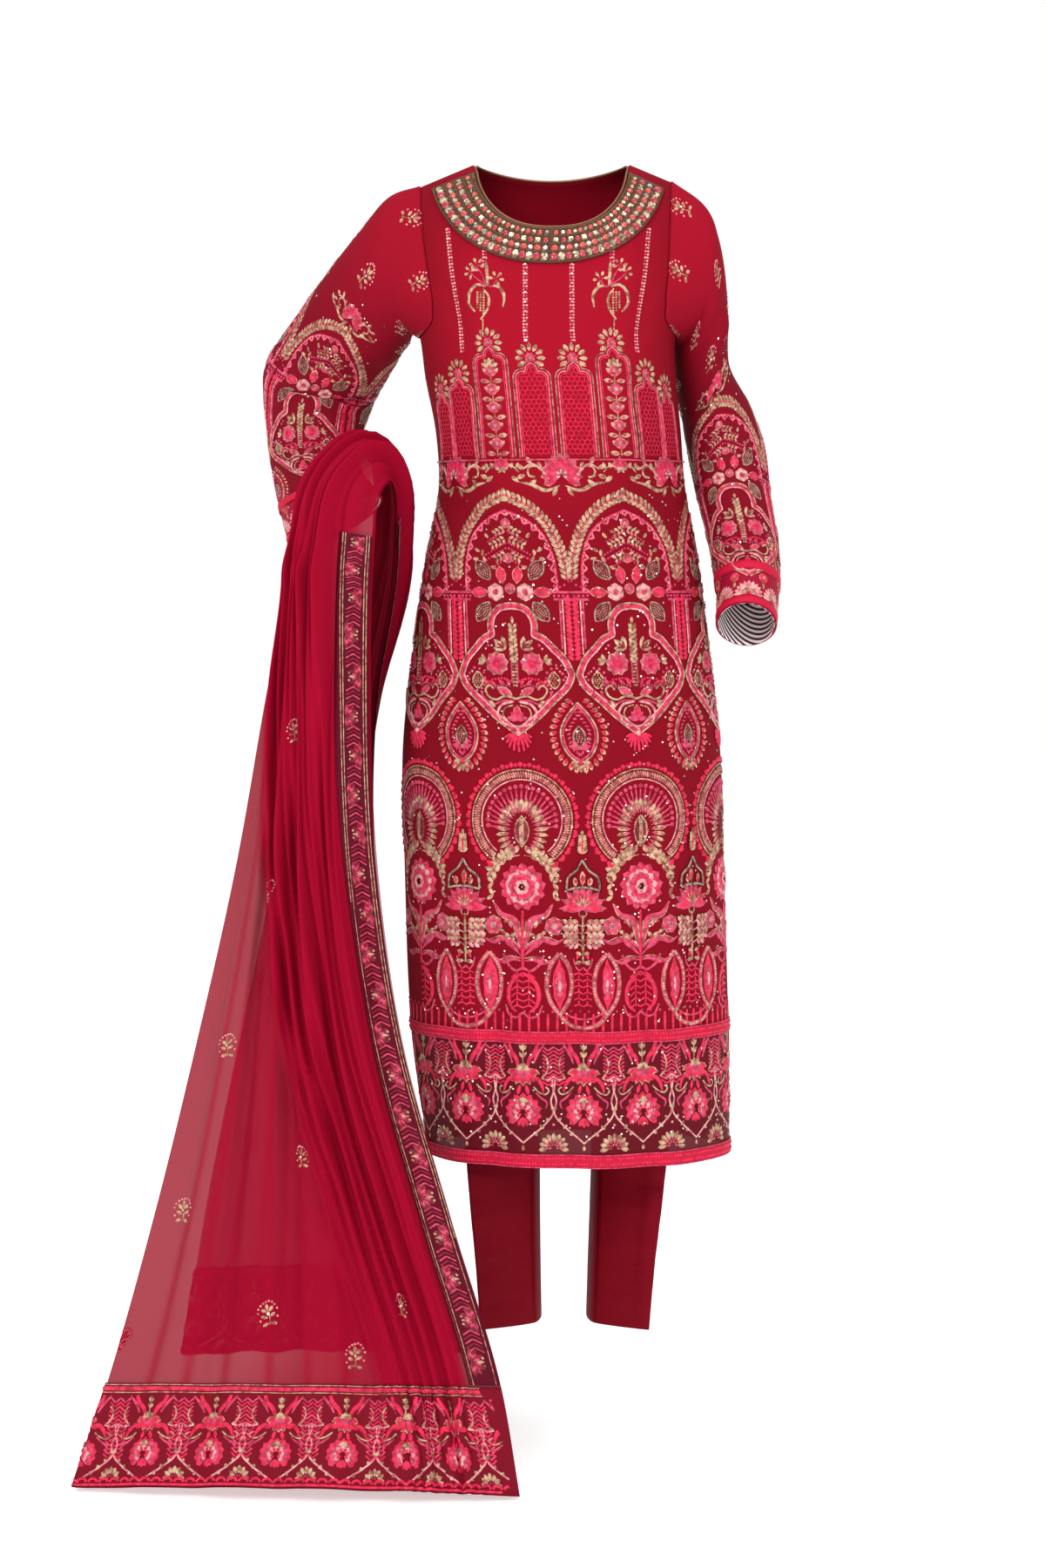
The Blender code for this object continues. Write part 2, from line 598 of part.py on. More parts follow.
def add_piping(collection, look):
    """The thin bound edge round the neck opening."""
    points, out, free = neck_edge()
    points = points + out * WALL / 2 + free * (PIPING_RADIUS + 3 * SEAM)
    line = bpy.data.curves.new("neck_piping", "CURVE")
    line.dimensions = "3D"
    spline = line.splines.new("POLY")
    spline.points.add(len(points) - 1)
    for point, place in zip(spline.points, points):
        point.co = (*place, 1)
    spline.use_cyclic_u = True
    line.bevel_depth = PIPING_RADIUS
    line.bevel_resolution = 1
    line.materials.append(look)
    collection.objects.link(bpy.data.objects.new("neck_piping", line))


def build_kameez(collection, looks):
    for name, face, grid in (("front", -1, FRONT_GRID), ("back", 1, BACK_GRID)):
        def main(u, v, face=face):
            return kameez(u, 1 - (1 - v) ** ROW_CROWDING, face, BORDER_TOP + SEAM / 2, 0.0)

        def border(u, v, face=face):
            return kameez(u, v, face, HEM, BORDER_TOP - SEAM / 2)

        def whole(u, v, face=face):
            return kameez(u, v, face, HEM, LACE[1])

        tall = LACE[1] - HEM
        lace = part_of(whole, v_low=(LACE[0] - HEM) / tall, v_high=1.0)
        tape = part_of(whole, v_low=(HEM_TAPE[0] - HEM) / tall, v_high=(HEM_TAPE[1] - HEM) / tall)
        add_cloth(collection, f"kameez_{name}", main, grid, looks["cloth"])
        add_cloth(collection, f"hem_border_{name}", border, (grid[0], BORDER_GRID), looks["organza"])
        add_cloth(collection, f"lace_tape_{name}", moved_out(lace, TRIM_LAY), (grid[0], 1), looks["tape"])
        add_cloth(collection, f"hem_tape_{name}", moved_out(tape, TRIM_LAY), (grid[0], 1), looks["tape"])


def build_sleeves(collection, looks):
    for side, rows, edge in (("right", SLEEVE_RIGHT, "left"), ("left", SLEEVE_LEFT, "right")):
        def whole(u, v, rows=rows, edge=edge):
            return sleeve(u, v, rows, edge)

        join = 1 - CUFF_SHARE
        main = part_of(whole, v_low=join + CUFF_GAP_SHARE)
        cuff = part_of(whole, v_high=join - CUFF_GAP_SHARE)
        tape = part_of(whole, v_low=join - CUFF_TAPE_SHARE / 2, v_high=join + CUFF_TAPE_SHARE / 2)
        edging = part_of(whole, v_low=EDGING_START, v_high=CUFF_TAPE_SHARE)
        add_cloth(collection, f"sleeve_{side}", main, SLEEVE_GRID, looks["cloth"], closed=True)
        grid = (SLEEVE_GRID[0], CUFF_GRID)
        add_cloth(collection, f"cuff_{side}", cuff, grid, looks["organza"], closed=True)
        for name, strip in (("cuff_tape", tape), ("cuff_edging", edging)):
            raised = moved_out(strip, TRIM_LAY)
            add_cloth(collection, f"{name}_{side}", raised, (SLEEVE_GRID[0], 1), looks["tape"], closed=True)


def build_trousers(collection, looks):
    for side in ("right", "left"):
        for name, face in (("front", -1), ("back", 1)):
            mirrored = (side == "right") == (face < 0)

            def panel(u, v, side=side, face=face, mirrored=mirrored):
                return trousers(1 - u if mirrored else u, v, side, face)

            add_cloth(collection, f"trouser_{side}_{name}", panel, LEG_GRID, looks["silk"])
    add_cloth(collection, "waistband", waistband, WAIST_GRID, looks["silk"], closed=True)


def build_veil(collection, looks):
    end = VEIL[-1][0]
    stretches = (
        ("dupatta_front_fall", 0.0, VEIL_JOINS[0] - SEAM / 2, VEIL_FRONT_ROWS),
        ("dupatta_over_arm", VEIL_JOINS[0] + SEAM / 2, VEIL_JOINS[1] - SEAM / 2, VEIL_ARM_ROWS),
        ("dupatta_back_fall", VEIL_JOINS[1] + SEAM / 2, end, VEIL_BACK_ROWS),
    )
    for name, low, high, up in stretches:
        def stretch(u, v, low=low, high=high):
            return veil(u, v, low, high)

        add_cloth(collection, name, stretch, (VEIL_ACROSS, up), looks["chiffon"])
    front_border = VEIL_JOINS[0] * VEIL_BORDER_ROWS / VEIL_FRONT_ROWS
    back_border = end - (end - VEIL_JOINS[1]) * VEIL_BORDER_ROWS / VEIL_BACK_ROWS
    ends = (
        ("dupatta_end_border_front", 0.0, front_border),
        ("dupatta_end_border_back", back_border, end),
    )
    for name, low, high in ends:
        def border(u, v, low=low, high=high):
            return veil(u, v, low, high)

        grid = (VEIL_ACROSS, VEIL_BORDER_ROWS)
        add_cloth(collection, name, moved_out(border, TRIM_LAY), grid, looks["border"])
    edges = (
        ("front", front_border + VEIL_BORDER_GAP, VEIL_JOINS[0], VEIL_FRONT_ROWS),
        ("back", VEIL_JOINS[1], back_border - VEIL_BORDER_GAP, VEIL_BACK_ROWS),
    )
    for name, low, high, rows in edges:
        def edge(u, v, low=low, high=high):
            return veil(1 - VEIL_EDGE_U + u * VEIL_EDGE_U, v, low, high)

        grid = (1, rows - VEIL_BORDER_ROWS)
        add_cloth(collection, f"dupatta_edge_border_{name}", moved_out(edge, TRIM_LAY), grid, looks["border"])


def main():
    for thing in list(bpy.data.objects):
        bpy.data.objects.remove(thing, do_unlink=True)
    parts = bpy.data.collections.new("salwar_kameez_suit")
    bpy.context.scene.collection.children.link(parts)
    looks = {
        "cloth": material("crimson georgette", *GEORGETTE),
        "organza": material("maroon organza", *ORGANZA),
        "tape": material("pink braided tape", *BRAID),
        "silk": material("wine raw silk", *RAW_SILK),
        "chiffon": material("crimson chiffon", *CHIFFON),
        "border": material("embroidered net", *VEIL_BORDER),
        "jewels": material("bronze bead ground", *BRONZE_BEADS),
        "piping": material("bronze cord", *BRONZE_CORD),
    }
    build_kameez(parts, looks)
    build_sleeves(parts, looks)
    build_trousers(parts, looks)
    build_veil(parts, looks)
    add_yoke(parts, looks["jewels"])
    add_piping(parts, looks["piping"])


if __name__ == "__main__":
    main()
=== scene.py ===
"""Salwar kameez suit, dressed: cloth, creases, embroidery, stones, braid and a sheer veil.

Metres, +Z up, the front faces -Y. Every cloth is a function of u (across) and v (upwards).
Embroidery is drawn flat, in millimetres, and laid on its cloth along a chart of the surface.
"""

import bmesh
import bpy
import numpy as np
from bpy.props import FloatProperty, FloatVectorProperty, IntProperty, PointerProperty
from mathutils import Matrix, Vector


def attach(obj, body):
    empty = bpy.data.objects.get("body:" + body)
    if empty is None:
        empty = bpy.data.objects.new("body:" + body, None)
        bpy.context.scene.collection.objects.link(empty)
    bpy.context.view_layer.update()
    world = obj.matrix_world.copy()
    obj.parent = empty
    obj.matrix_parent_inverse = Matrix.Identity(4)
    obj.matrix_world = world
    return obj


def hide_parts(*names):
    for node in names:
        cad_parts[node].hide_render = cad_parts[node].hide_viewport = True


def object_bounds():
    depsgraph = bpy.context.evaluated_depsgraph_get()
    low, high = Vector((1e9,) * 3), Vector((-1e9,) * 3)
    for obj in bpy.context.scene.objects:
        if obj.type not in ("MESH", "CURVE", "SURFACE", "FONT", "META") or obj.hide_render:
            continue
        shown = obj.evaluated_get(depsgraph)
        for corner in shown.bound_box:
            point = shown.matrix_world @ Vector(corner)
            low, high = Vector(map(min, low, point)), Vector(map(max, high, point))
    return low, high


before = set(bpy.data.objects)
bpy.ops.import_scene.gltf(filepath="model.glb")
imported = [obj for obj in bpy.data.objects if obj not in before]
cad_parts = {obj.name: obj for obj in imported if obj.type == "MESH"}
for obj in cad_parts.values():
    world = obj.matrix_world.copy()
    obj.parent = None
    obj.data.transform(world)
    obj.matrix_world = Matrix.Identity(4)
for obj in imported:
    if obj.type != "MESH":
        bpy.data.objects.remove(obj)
CAD_BOX = [list(corner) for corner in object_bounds()]

bl_info = {
    "name": "Salwar kameez suit",
    "version": (1, 0, 0),
    "blender": (4, 5, 0),
    "location": "View3D > Sidebar > Suit",
    "description": "Dresses the suit: cloth, embroidery, stones, braid and veil",
    "category": "Object",
}

# ---------------------------------------------------------------- forms shared with the solids



def in_metres(*rows):
    """A table given in millimetres."""
    return tuple(tuple(round(value / 1000, 6) for value in row) for row in rows)


# Cloth and seams
WALL = 0.0010
SEAM = 0.0003
LAY = WALL + SEAM
TRIM_LAY = LAY + 0.0003

# Heights below the shoulder points
UNDERARM = -0.197
LEVEL_ROWS = -0.300
SLIT_TOP = -0.640
BORDER_TOP = -0.982
HEM = -1.128
LACE = (-0.989, -0.975)
HEM_TAPE = (-1.1275, -1.112)
SLIT_SPREAD = 0.009
SLIT_OPENS = 0.450

# Neck and shoulder
NECK_LEFT = -0.088
NECK_RIGHT = 0.089
NECK_DROP_FRONT = 0.080
NECK_DROP_BACK = 0.014
NECK_ROUND = 2.4
SHOULDER_SLOPE = 0.42
CHEST_RISE = 0.220
RIDGE_FRONT = 1.5
RIDGE_BACK = 3.0

# Body rings: how far the cloth reaches left, right, forwards and backwards at each height
BODY_COLUMNS = ("height", "left", "right", "front", "back")
BODY = in_metres(
    (20, -200, 190, 104, 98),
    (-60, -195, 185, 105, 100),
    (-120, -177, 167, 110, 100),
    (-165, -160, 151, 118, 98),
    (-197, -150, 142, 124, 96),
    (-240, -144, 142, 130, 93),
    (-310, -131, 148, 120, 88),
    (-365, -128, 152, 109, 87),
    (-450, -143, 167, 113, 100),
    (-550, -157, 180, 123, 120),
    (-660, -169, 192, 129, 131),
    (-810, -167, 197, 126, 126),
    (-1000, -158, 202, 120, 114),
    (-1130, -140, 203, 116, 106),
)

# Armhole seam, seen from the front
ARMHOLE_COLUMNS = ("height", "left", "right")
ARMHOLE = in_metres(
    (-24, -150, 137),
    (-80, -146, 134),
    (-130, -139, 131),
    (-165, -134, 128),
    (-188, -138, 131),
    (-197, -150, 142),
)

ARMHOLE_LAP = 0.990
ARMHOLE_LIFT = LAY + 0.0004

# Soft vertical folds: place across at the top and at the foot, where each runs, how deep and wide
FOLD_GROWTH = 0.5
FRONT_FOLDS = (
    (-0.075, -0.108, -0.56, -1.20, 0.0065, 0.026),
    (0.004, -0.028, -0.66, -1.20, 0.0050, 0.034),
    (0.070, 0.062, -0.58, -1.20, 0.0070, 0.030),
    (0.120, 0.150, -0.50, -1.20, 0.0060, 0.026),
    (-0.090, -0.050, -0.28, -0.44, 0.0030, 0.018),
    (0.100, 0.060, -0.29, -0.43, 0.0030, 0.018),
)
BACK_FOLDS = (
    (-0.060, -0.090, -0.50, -1.20, 0.0070, 0.030),
    (0.018, 0.020, -0.42, -1.20, 0.0080, 0.034),
    (0.095, 0.125, -0.52, -1.20, 0.0065, 0.028),
)

# Sleeves: each ring by its outer point, its inner point and how deep it is fore and aft
SLEEVE_RIGHT = in_metres(
    (-184, -1, -37, -153, 6, -196, 58),
    (-215, 4, -72, -158, 12, -190, 58),
    (-248, 20, -110, -170, 26, -206, 57),
    (-296, 50, -170, -193, 56, -243, 55),
    (-332, 80, -220, -207, 78, -264, 55),
    (-336, 95, -264, -218, 66, -287, 50),
    (-330, 85.5, -310, -226, 36.5, -312, 35.5),
    (-322, 65.5, -355, -223, -5.5, -342, 25),
    (-311, 39.5, -398, -208, -43.5, -366, 24),
    (-298, 11.5, -440, -195, -75.5, -382, 21.5),
)
SLEEVE_LEFT = in_metres(
    (168, 2, -42, 145.5, 8, -202, 57),
    (184, 6, -72, 146.5, 14, -214, 57),
    (194, 14, -118, 147.5, 20, -236, 56),
    (198, 24, -175, 150, 26, -262, 55),
    (204, 32, -226, 153.5, 34, -288, 55),
    (229, 36, -272, 157, 40, -312, 56),
    (246, 28, -322, 163, 34, -345, 55),
    (252, 10, -378, 171, 18, -388, 53),
    (258, -12, -434, 182, -6, -438, 51),
    (258, -34, -486, 188, -30, -484, 50),
    (252, -56, -528, 188, -52, -524, 52),
)
CUFF_SHARE = 0.90
CUFF_TAPE_SHARE = 0.018
CUFF_GAP_SHARE = 0.0006
EDGING_START = 0.002

# Yoke: a crescent on the front between the neckline and its outer curve, square at its upper ends
YOKE_TOP = -0.012
YOKE_LEFT = -0.140
YOKE_RIGHT = 0.132
YOKE_OUTER_DROP = 0.122
YOKE_ROUND = 2.2
YOKE_WALL = 0.0014
YOKE_CLEAR = 0.0006
PIPING_RADIUS = 0.0014

# Trousers: centre of each leg, its half width and half depth; the crease turned out
LEG_COLUMNS = ("height", "right_x", "left_x", "middle_y", "side", "deep")
LEGS = in_metres(
    (-640, -70, 98, 4, 78, 100),
    (-760, -68, 100, 2, 66, 88),
    (-900, -64, 98, 0, 56, 78),
    (-1050, -58, 94, 2, 47, 70),
    (-1180, -53, 86, 6, 40, 63),
    (-1260, -49, 80, 8, 36, 58),
    (-1330, -46, 76, 10, 34, 55),
)
WAIST = (-0.392, -0.352)
WAIST_INSET = 0.0020
TROUSER_HEM = -1.328
CROTCH = (-0.560, -0.690)
HIP_EASE = 0.020
HIP_EASE_HEIGHTS = (0.010, 0.120)
CREASE_OUT = 38.0
CREASE_SWING = 0.5
LENS_POWER = 0.72

NECK_CROWDING = 2.8

# Veil, folded once along its length: rows from its front end on the floor, over the forearm, to its back end.
# Each row gives its length along the veil, the folded edge (x, y, z), the two open edges (x, y, z),
# the outward bulge, the depth of the gathers and how far apart the two layers are.
VEIL = in_metres(
    (0, -519, -206, -1455, -36, -238, -1455, 30, 4, 6),
    (90, -492, -166, -1368, -53, -200, -1364, 20, 5, 7),
    (280, -441, -128, -1180, -111, -160, -1176, 12, 6, 7.5),
    (470, -396, -102, -990, -165, -140, -988, 12, 7, 7.5),
    (660, -355, -78, -800, -194, -124, -798, 14, 6.5, 7),
    (855, -322, -56, -607, -203, -114, -606, 16, 5.5, 6),
    (970, -301, -44, -490, -202, -112, -492, 20, 4, 5),
    (1050, -293, -36, -425, -199, -112, -440, 22, 3, 4.5),
    (1100, -285, -32, -371, -196, -110, -394, 20, 3, 4),
    (1140, -267, -20, -337, -189, -102, -373, 16, 3, 3.5),
    (1175, -238, 0, -319, -181, -90, -366, 15, 3, 3.5),
    (1215, -210, 24, -336, -176, -76, -386, 8, 3, 4),
    (1275, -205, 44, -405, -177, -68, -450, 4, 4.5, 4.5),
    (1455, -262, 62, -600, -203, -36, -620, 6, 6, 6),
    (1655, -318, 74, -800, -206, 12, -815, 8, 6.5, 6.5),
    (1855, -362, 82, -1000, -186, 92, -1010, 10, 6.5, 7),
    (2055, -402, 88, -1195, -130, 122, -1205, 12, 6, 7),
    (2255, -434, 92, -1388, -104, 132, -1396, 14, 6, 7),
)
VEIL_JOINS = (1.064, 1.245)
VEIL_EDGE = 0.060
VEIL_EDGE_U = 1 / 26
VEIL_TURN = 0.06
VEIL_WAVES = 5
VEIL_WAVE_DRIFT = 0.9
VEIL_STEP = 0.004
VEIL_BORDER_GAP = 0.0012
VEIL_TABLE = np.asarray(VEIL)


def column(names, rows, name, at):
    """Reads one column of a section table smoothly at any value of its first column."""
    rows = np.asarray(rows, float)
    rows = rows[np.argsort(rows[:, 0])]
    x = rows[:, 0]
    y = rows[:, names.index(name)]
    return smooth(x, y[:, None], at)[..., 0]


def cubic(t, first, first_slope, second, second_slope):
    """A cubic curve between two values and their slopes, t from 0 to 1."""
    return (
        first * (2 * t**3 - 3 * t**2 + 1)
        + first_slope * (t**3 - 2 * t**2 + t)
        + second * (3 * t**2 - 2 * t**3)
        + second_slope * (t**3 - t**2)
    )


def smooth(x, y, at):
    """A cubic curve through the points (x, y), one y row for each x, read at the values in at."""
    step = np.diff(x)
    rise = np.diff(y, axis=0) / step[:, None]
    share = (step[1:] / (step[:-1] + step[1:]))[:, None]
    slope = np.concatenate([rise[:1], rise[:-1] * share + rise[1:] * (1 - share), rise[-1:]])
    at = np.clip(at, x[0], x[-1])
    i = np.clip(np.searchsorted(x, at, side="right") - 1, 0, len(x) - 2)
    t = ((at - x[i]) / step[i])[..., None]
    h = step[i][..., None]
    return cubic(t, y[i], slope[i] * h, y[i + 1], slope[i + 1] * h)


def body(name, z):
    return column(BODY_COLUMNS, BODY, name, z)


def window(value, low, high):
    """0 below low, 1 above high and a soft step between."""
    t = np.clip((value - low) / (high - low), 0, 1)
    return t * t * (3 - 2 * t)


def fold_depth(folds, x, z):
    """How far the folds push the cloth out at x, z."""
    total = np.zeros_like(x)
    for top_x, foot_x, top_z, foot_z, depth, width in folds:
        t = np.clip((top_z - z) / (top_z - foot_z), 0, 1)
        centre = top_x + (foot_x - top_x) * t
        strength = np.sin(np.pi * t) if foot_z > HEM else window(t, 0.0, FOLD_GROWTH)
        total += depth * strength * np.exp(-(((x - centre) / width) ** 2))
    return total


def shoulder(x):
    """Height of the shoulder line above x."""
    beyond = np.maximum(np.maximum(x - NECK_RIGHT, NECK_LEFT - x), 0)
    return -SHOULDER_SLOPE * beyond


def body_y(x, z, face, folds):
    """Depth of the cloth at x, z. The face is -1 at the front and 1 at the back."""
    middle = (body("left", z) + body("right", z)) / 2
    reach = np.where(x < middle, middle - body("left", z), body("right", z) - middle)
    across = np.clip(np.abs(x - middle) / reach, 0, 1)
    side = np.sqrt(1 - across**2)
    ridge = RIDGE_FRONT if face < 0 else RIDGE_BACK
    fall = np.clip((shoulder(x) - z) / CHEST_RISE, 0, 1)
    rise = (1 - (1 - fall) ** ridge) ** (1 / ridge)
    depth = body("front" if face < 0 else "back", z) * side * rise
    slit = SLIT_SPREAD * window(SLIT_TOP - z, 0.0, SLIT_OPENS)
    return face * (depth + fold_depth(folds, x, z) * np.minimum(1, side * 2) + SEAM / 2 + slit * (1 - side))


def neckline(x, face):
    """Height of the neck edge at x."""
    middle = (NECK_LEFT + NECK_RIGHT) / 2
    half = (NECK_RIGHT - NECK_LEFT) / 2
    share = np.clip(np.abs(x - middle) / half, 0, 1)
    if face < 0:
        return -NECK_DROP_FRONT * np.sqrt(1 - share**NECK_ROUND)
    return -NECK_DROP_BACK * (1 - share**2)


def edge_height(level):
    """Height on the side edge of a panel for a row level."""
    top = ARMHOLE[0][0]
    return np.where(level < LEVEL_ROWS, level, top + (LEVEL_ROWS - top) * level / LEVEL_ROWS)


def edge_x(side, level):
    """The armhole seam and, below it, the side seam."""
    z = edge_height(level)
    seam = body(side, z)
    armhole = column(ARMHOLE_COLUMNS, ARMHOLE, side, z)
    return np.where(z > UNDERARM, armhole, seam)


def panel_xz(u, level, face):
    """Where a point of the front or back panel lies, seen from the front; u runs from -1 to 1."""
    left, right = edge_x("left", level), edge_x("right", level)
    middle = (left + right) / 2
    half = (right - left) / 2
    top_left, top_right = ARMHOLE[0][1], ARMHOLE[0][2]
    top_middle, top_half = (top_left + top_right) / 2, (top_right - top_left) / 2
    neck = np.where(u < 0, top_middle - NECK_LEFT, NECK_RIGHT - top_middle) / top_half
    beyond = np.clip((np.abs(u) - 0.5) / 0.5, 0, 1)
    near = neck * np.sin(np.minimum(np.abs(u), 0.5) * NECK_CROWDING) / np.sin(0.5 * NECK_CROWDING)
    share = np.where(np.abs(u) <= 0.5, near, neck + (1 - neck) * np.sin(beyond * np.pi / 2))
    x = middle + np.sign(u) * share * half
    top_x = top_middle + np.sign(u) * share * top_half
    top = np.where(np.abs(u) < 0.5, neckline(top_x, face), shoulder(top_x))
    z = np.where(level < LEVEL_ROWS, level, top + (LEVEL_ROWS - top) * level / LEVEL_ROWS)
    return x, z


def armhole_loop(side, turn):
    """The armhole seam from the shoulder (turn 0) down the front to the underarm (pi) and up the back,
    lapped a little over the tunic."""
    sign = -1 if side == "left" else 1
    top = ARMHOLE[0][0]
    low = LEVEL_ROWS * (UNDERARM - top) / (LEVEL_ROWS - top)
    v = 1 - low * (1 - np.cos(turn)) / 2 / LEVEL_ROWS
    loops = []
    for face in (-1, 1):
        panel = tunic_cloth(face, LEVEL_ROWS, 0.0)
        across = np.full_like(turn, (1 - sign * face * ARMHOLE_LAP) / 2)
        loops.append(panel(across, v) + normals(panel, across, v) * ARMHOLE_LIFT)
    return np.where((turn <= np.pi)[..., None], loops[0], loops[1])


def sleeve_rings(rows, turn, side):
    """Every ring of a sleeve at the given turns: the armhole first, then the table's rings."""
    rows = np.asarray(rows)
    outer, inner, deep = rows[:, 0:3], rows[:, 3:6], rows[:, 6]
    middle = (outer + inner) / 2
    path = np.gradient(middle, axis=0)
    long = (outer - inner) / 2
    facing = np.cross(path, long)
    facing /= np.linalg.norm(facing, axis=1)[:, None]
    facing *= np.sign(-facing[:, 1])[:, None]
    rings = [armhole_loop(side, turn)]
    for m, a, b, d in zip(middle, long, facing, deep):
        rings.append(m + np.cos(turn)[..., None] * a + np.sin(turn)[..., None] * b * d)
    return np.array(rings)


def sleeve(u, v, rows, side):
    """A point of a sleeve; u runs round it and v from its cuff up to the armhole."""
    turn = 2 * np.pi * (1 - u if side == "right" else u)
    rings = sleeve_rings(rows, turn.ravel(), side)
    count = len(rings)
    along = (1 - v).ravel() * (count - 1)
    i = np.arange(turn.size)
    knots = np.arange(count, dtype=float)
    base = np.clip(along.astype(int), 0, count - 2)
    t = (along - base)[:, None]
    before, after = np.maximum(base - 1, 0), np.minimum(base + 2, count - 1)
    p0, p1, p2, p3 = rings[before, i], rings[base, i], rings[base + 1, i], rings[after, i]
    slope1 = (p2 - p0) / (knots[base + 1] - knots[before])[:, None]
    slope2 = (p3 - p1) / (knots[after] - knots[base])[:, None]
    return cubic(t, p1, slope1, p2, slope2).reshape(u.shape + (3,))


def leg(name, z):
    return column(LEG_COLUMNS, LEGS, name, z)


def trousers(u, v, side, face):
    """A point of one trouser panel; u runs from the centre seam to the side seam, whatever the side."""
    sign = -1 if side == "right" else 1
    z = TROUSER_HEM + (WAIST[0] - SEAM - TROUSER_HEM) * v
    middle = (body("left", z) + body("right", z)) / 2
    below = WAIST[0] - z
    ease = WAIST_INSET + HIP_EASE * window(below, *HIP_EASE_HEIGHTS)
    reach = (body("right", z) - body("left", z)) / 2 - ease
    depth = body("front" if face < 0 else "back", z) - ease
    angle = u * np.pi / 2
    hip_x = middle + sign * (SEAM / 2 + reach * np.sin(angle))
    hip_y = face * (depth * np.cos(angle) + SEAM / 2)
    across = 2 * u - 1
    lens_x = leg("side", z) * across
    lens_y = face * leg("deep", z) * (1 - np.abs(across)) ** LENS_POWER
    crease = np.radians(CREASE_OUT)
    leg_x = sign * (lens_x * np.cos(crease) - lens_y * np.sin(crease))
    leg_y = lens_x * np.sin(crease) * CREASE_SWING + lens_y * np.cos(crease) + face * SEAM / 2
    leg_x += leg("right_x" if side == "right" else "left_x", z)
    leg_y += leg("middle_y", z)
    split = window(-z, -CROTCH[0], -CROTCH[1])
    x = hip_x * (1 - split) + leg_x * split
    y = hip_y * (1 - split) + leg_y * split
    return np.stack([x, y, z], axis=-1)


def veil_share(u):
    """How far across the folded veil a point is, from the open edges at 0 to the fold at 1."""
    return np.interp(np.minimum(u, 1 - u), (0, VEIL_EDGE_U, 0.5 - VEIL_TURN), (0, VEIL_EDGE, 1))


def veil_rows(length):
    """The row of the veil's table at a length, and the way out of the cloth there."""
    x, y = VEIL_TABLE[:, 0], VEIL_TABLE[:, 1:]
    row = smooth(x, y, length)
    ahead, behind = smooth(x, y[:, :6], length + VEIL_STEP), smooth(x, y[:, :6], length - VEIL_STEP)
    path = (ahead[..., 0:3] + ahead[..., 3:6] - behind[..., 0:3] - behind[..., 3:6]) / 2
    out = np.cross(path, row[..., 0:3] - row[..., 3:6])
    return row, out / np.linalg.norm(out, axis=-1, keepdims=True)


def veil(u, v, low=0.0, high=VEIL[-1][0]):
    """A point of the folded veil: u runs from the inner layer's open edge to the fold and back along
    the outer layer, v from its front end, over the forearm, to its back end."""
    u = 1 - u
    length = low + (high - low) * v
    row, out = veil_rows(length)
    free, bulge, wave, apart = row[..., 3:6], row[..., 6], row[..., 7], row[..., 8]
    chord = row[..., 0:3] - free
    layer = np.clip((u - 0.5) / VEIL_TURN, -1, 1)
    share = veil_share(u)
    flat = 1 - VEIL_TURN / 3
    across = share * flat + np.sqrt(1 - layer**2) * (1 - flat)
    hollow = np.sin(np.pi * share)
    waves = np.sin(2 * np.pi * VEIL_WAVES * share + VEIL_WAVE_DRIFT * length) * hollow * (2 - hollow)
    push = bulge * hollow + wave * waves - apart / 2 * np.sin(layer * np.pi / 2)
    return free + chord * across[..., None] + out * push[..., None]


def normals(place, u, v):
    """Outward unit normals of a surface."""
    step = 1e-4
    left, right = place(np.clip(u - step, 0, 1), v), place(np.clip(u + step, 0, 1), v)
    down, up = place(u, np.clip(v - step, 0, 1)), place(u, np.clip(v + step, 0, 1))
    out = np.cross(right - left, up - down)
    return out / np.maximum(np.linalg.norm(out, axis=-1, keepdims=True), 1e-12)


def moved_out(place, distance):
    """The same surface, moved out along its normals."""
    return lambda u, v: place(u, v) + normals(place, u, v) * distance


# ---------------------------------------------------------------- charts: flat drawings on curved cloth

CHART_STEP = 0.0025
CHART_ROWS = 0.005
CHART_COLUMNS = 321


def heights_of(low, high, pitch=CHART_ROWS):
    """The heights of a chart's rows."""
    return np.linspace(low, high, int((high - low) / pitch) + 2)


def chart(place, heights, low_s, high_s, axis, lift):
    """A table of points and normals on a cloth by s, the way along it from an axis line, and its height t.

    place(p, q) is the cloth for p and q from 0 to 1; heights are t for rows of q; axis(t) is the p of s = 0.
    """
    rows, columns = len(heights), CHART_COLUMNS
    q, p = np.meshgrid(np.linspace(0, 1, rows), np.linspace(0, 1, columns), indexing="ij")
    points = place(p.ravel(), q.ravel()).reshape(rows, columns, 3)
    steps = np.linalg.norm(np.diff(points, axis=1), axis=2)
    way = np.concatenate([np.zeros((rows, 1)), np.cumsum(steps, axis=1)], axis=1)
    s = np.arange(low_s, high_s + CHART_STEP, CHART_STEP)
    shares = np.empty((rows, len(s)))
    for row in range(rows):
        start = np.interp(axis(heights[row]), p[row], way[row])
        shares[row] = np.interp(s, way[row] - start, p[row], left=np.nan, right=np.nan)
    filled = np.nan_to_num(shares, nan=0.5).ravel()
    q_all = np.repeat(q[:, 0], len(s))
    found = place(filled, q_all)
    out = normals(place, filled, q_all)
    found[np.isnan(shares.ravel())] = np.nan
    return {
        "heights": heights,
        "s": s,
        "points": found.reshape(rows, len(s), 3),
        "out": out.reshape(rows, len(s), 3),
        "lift": lift,
    }


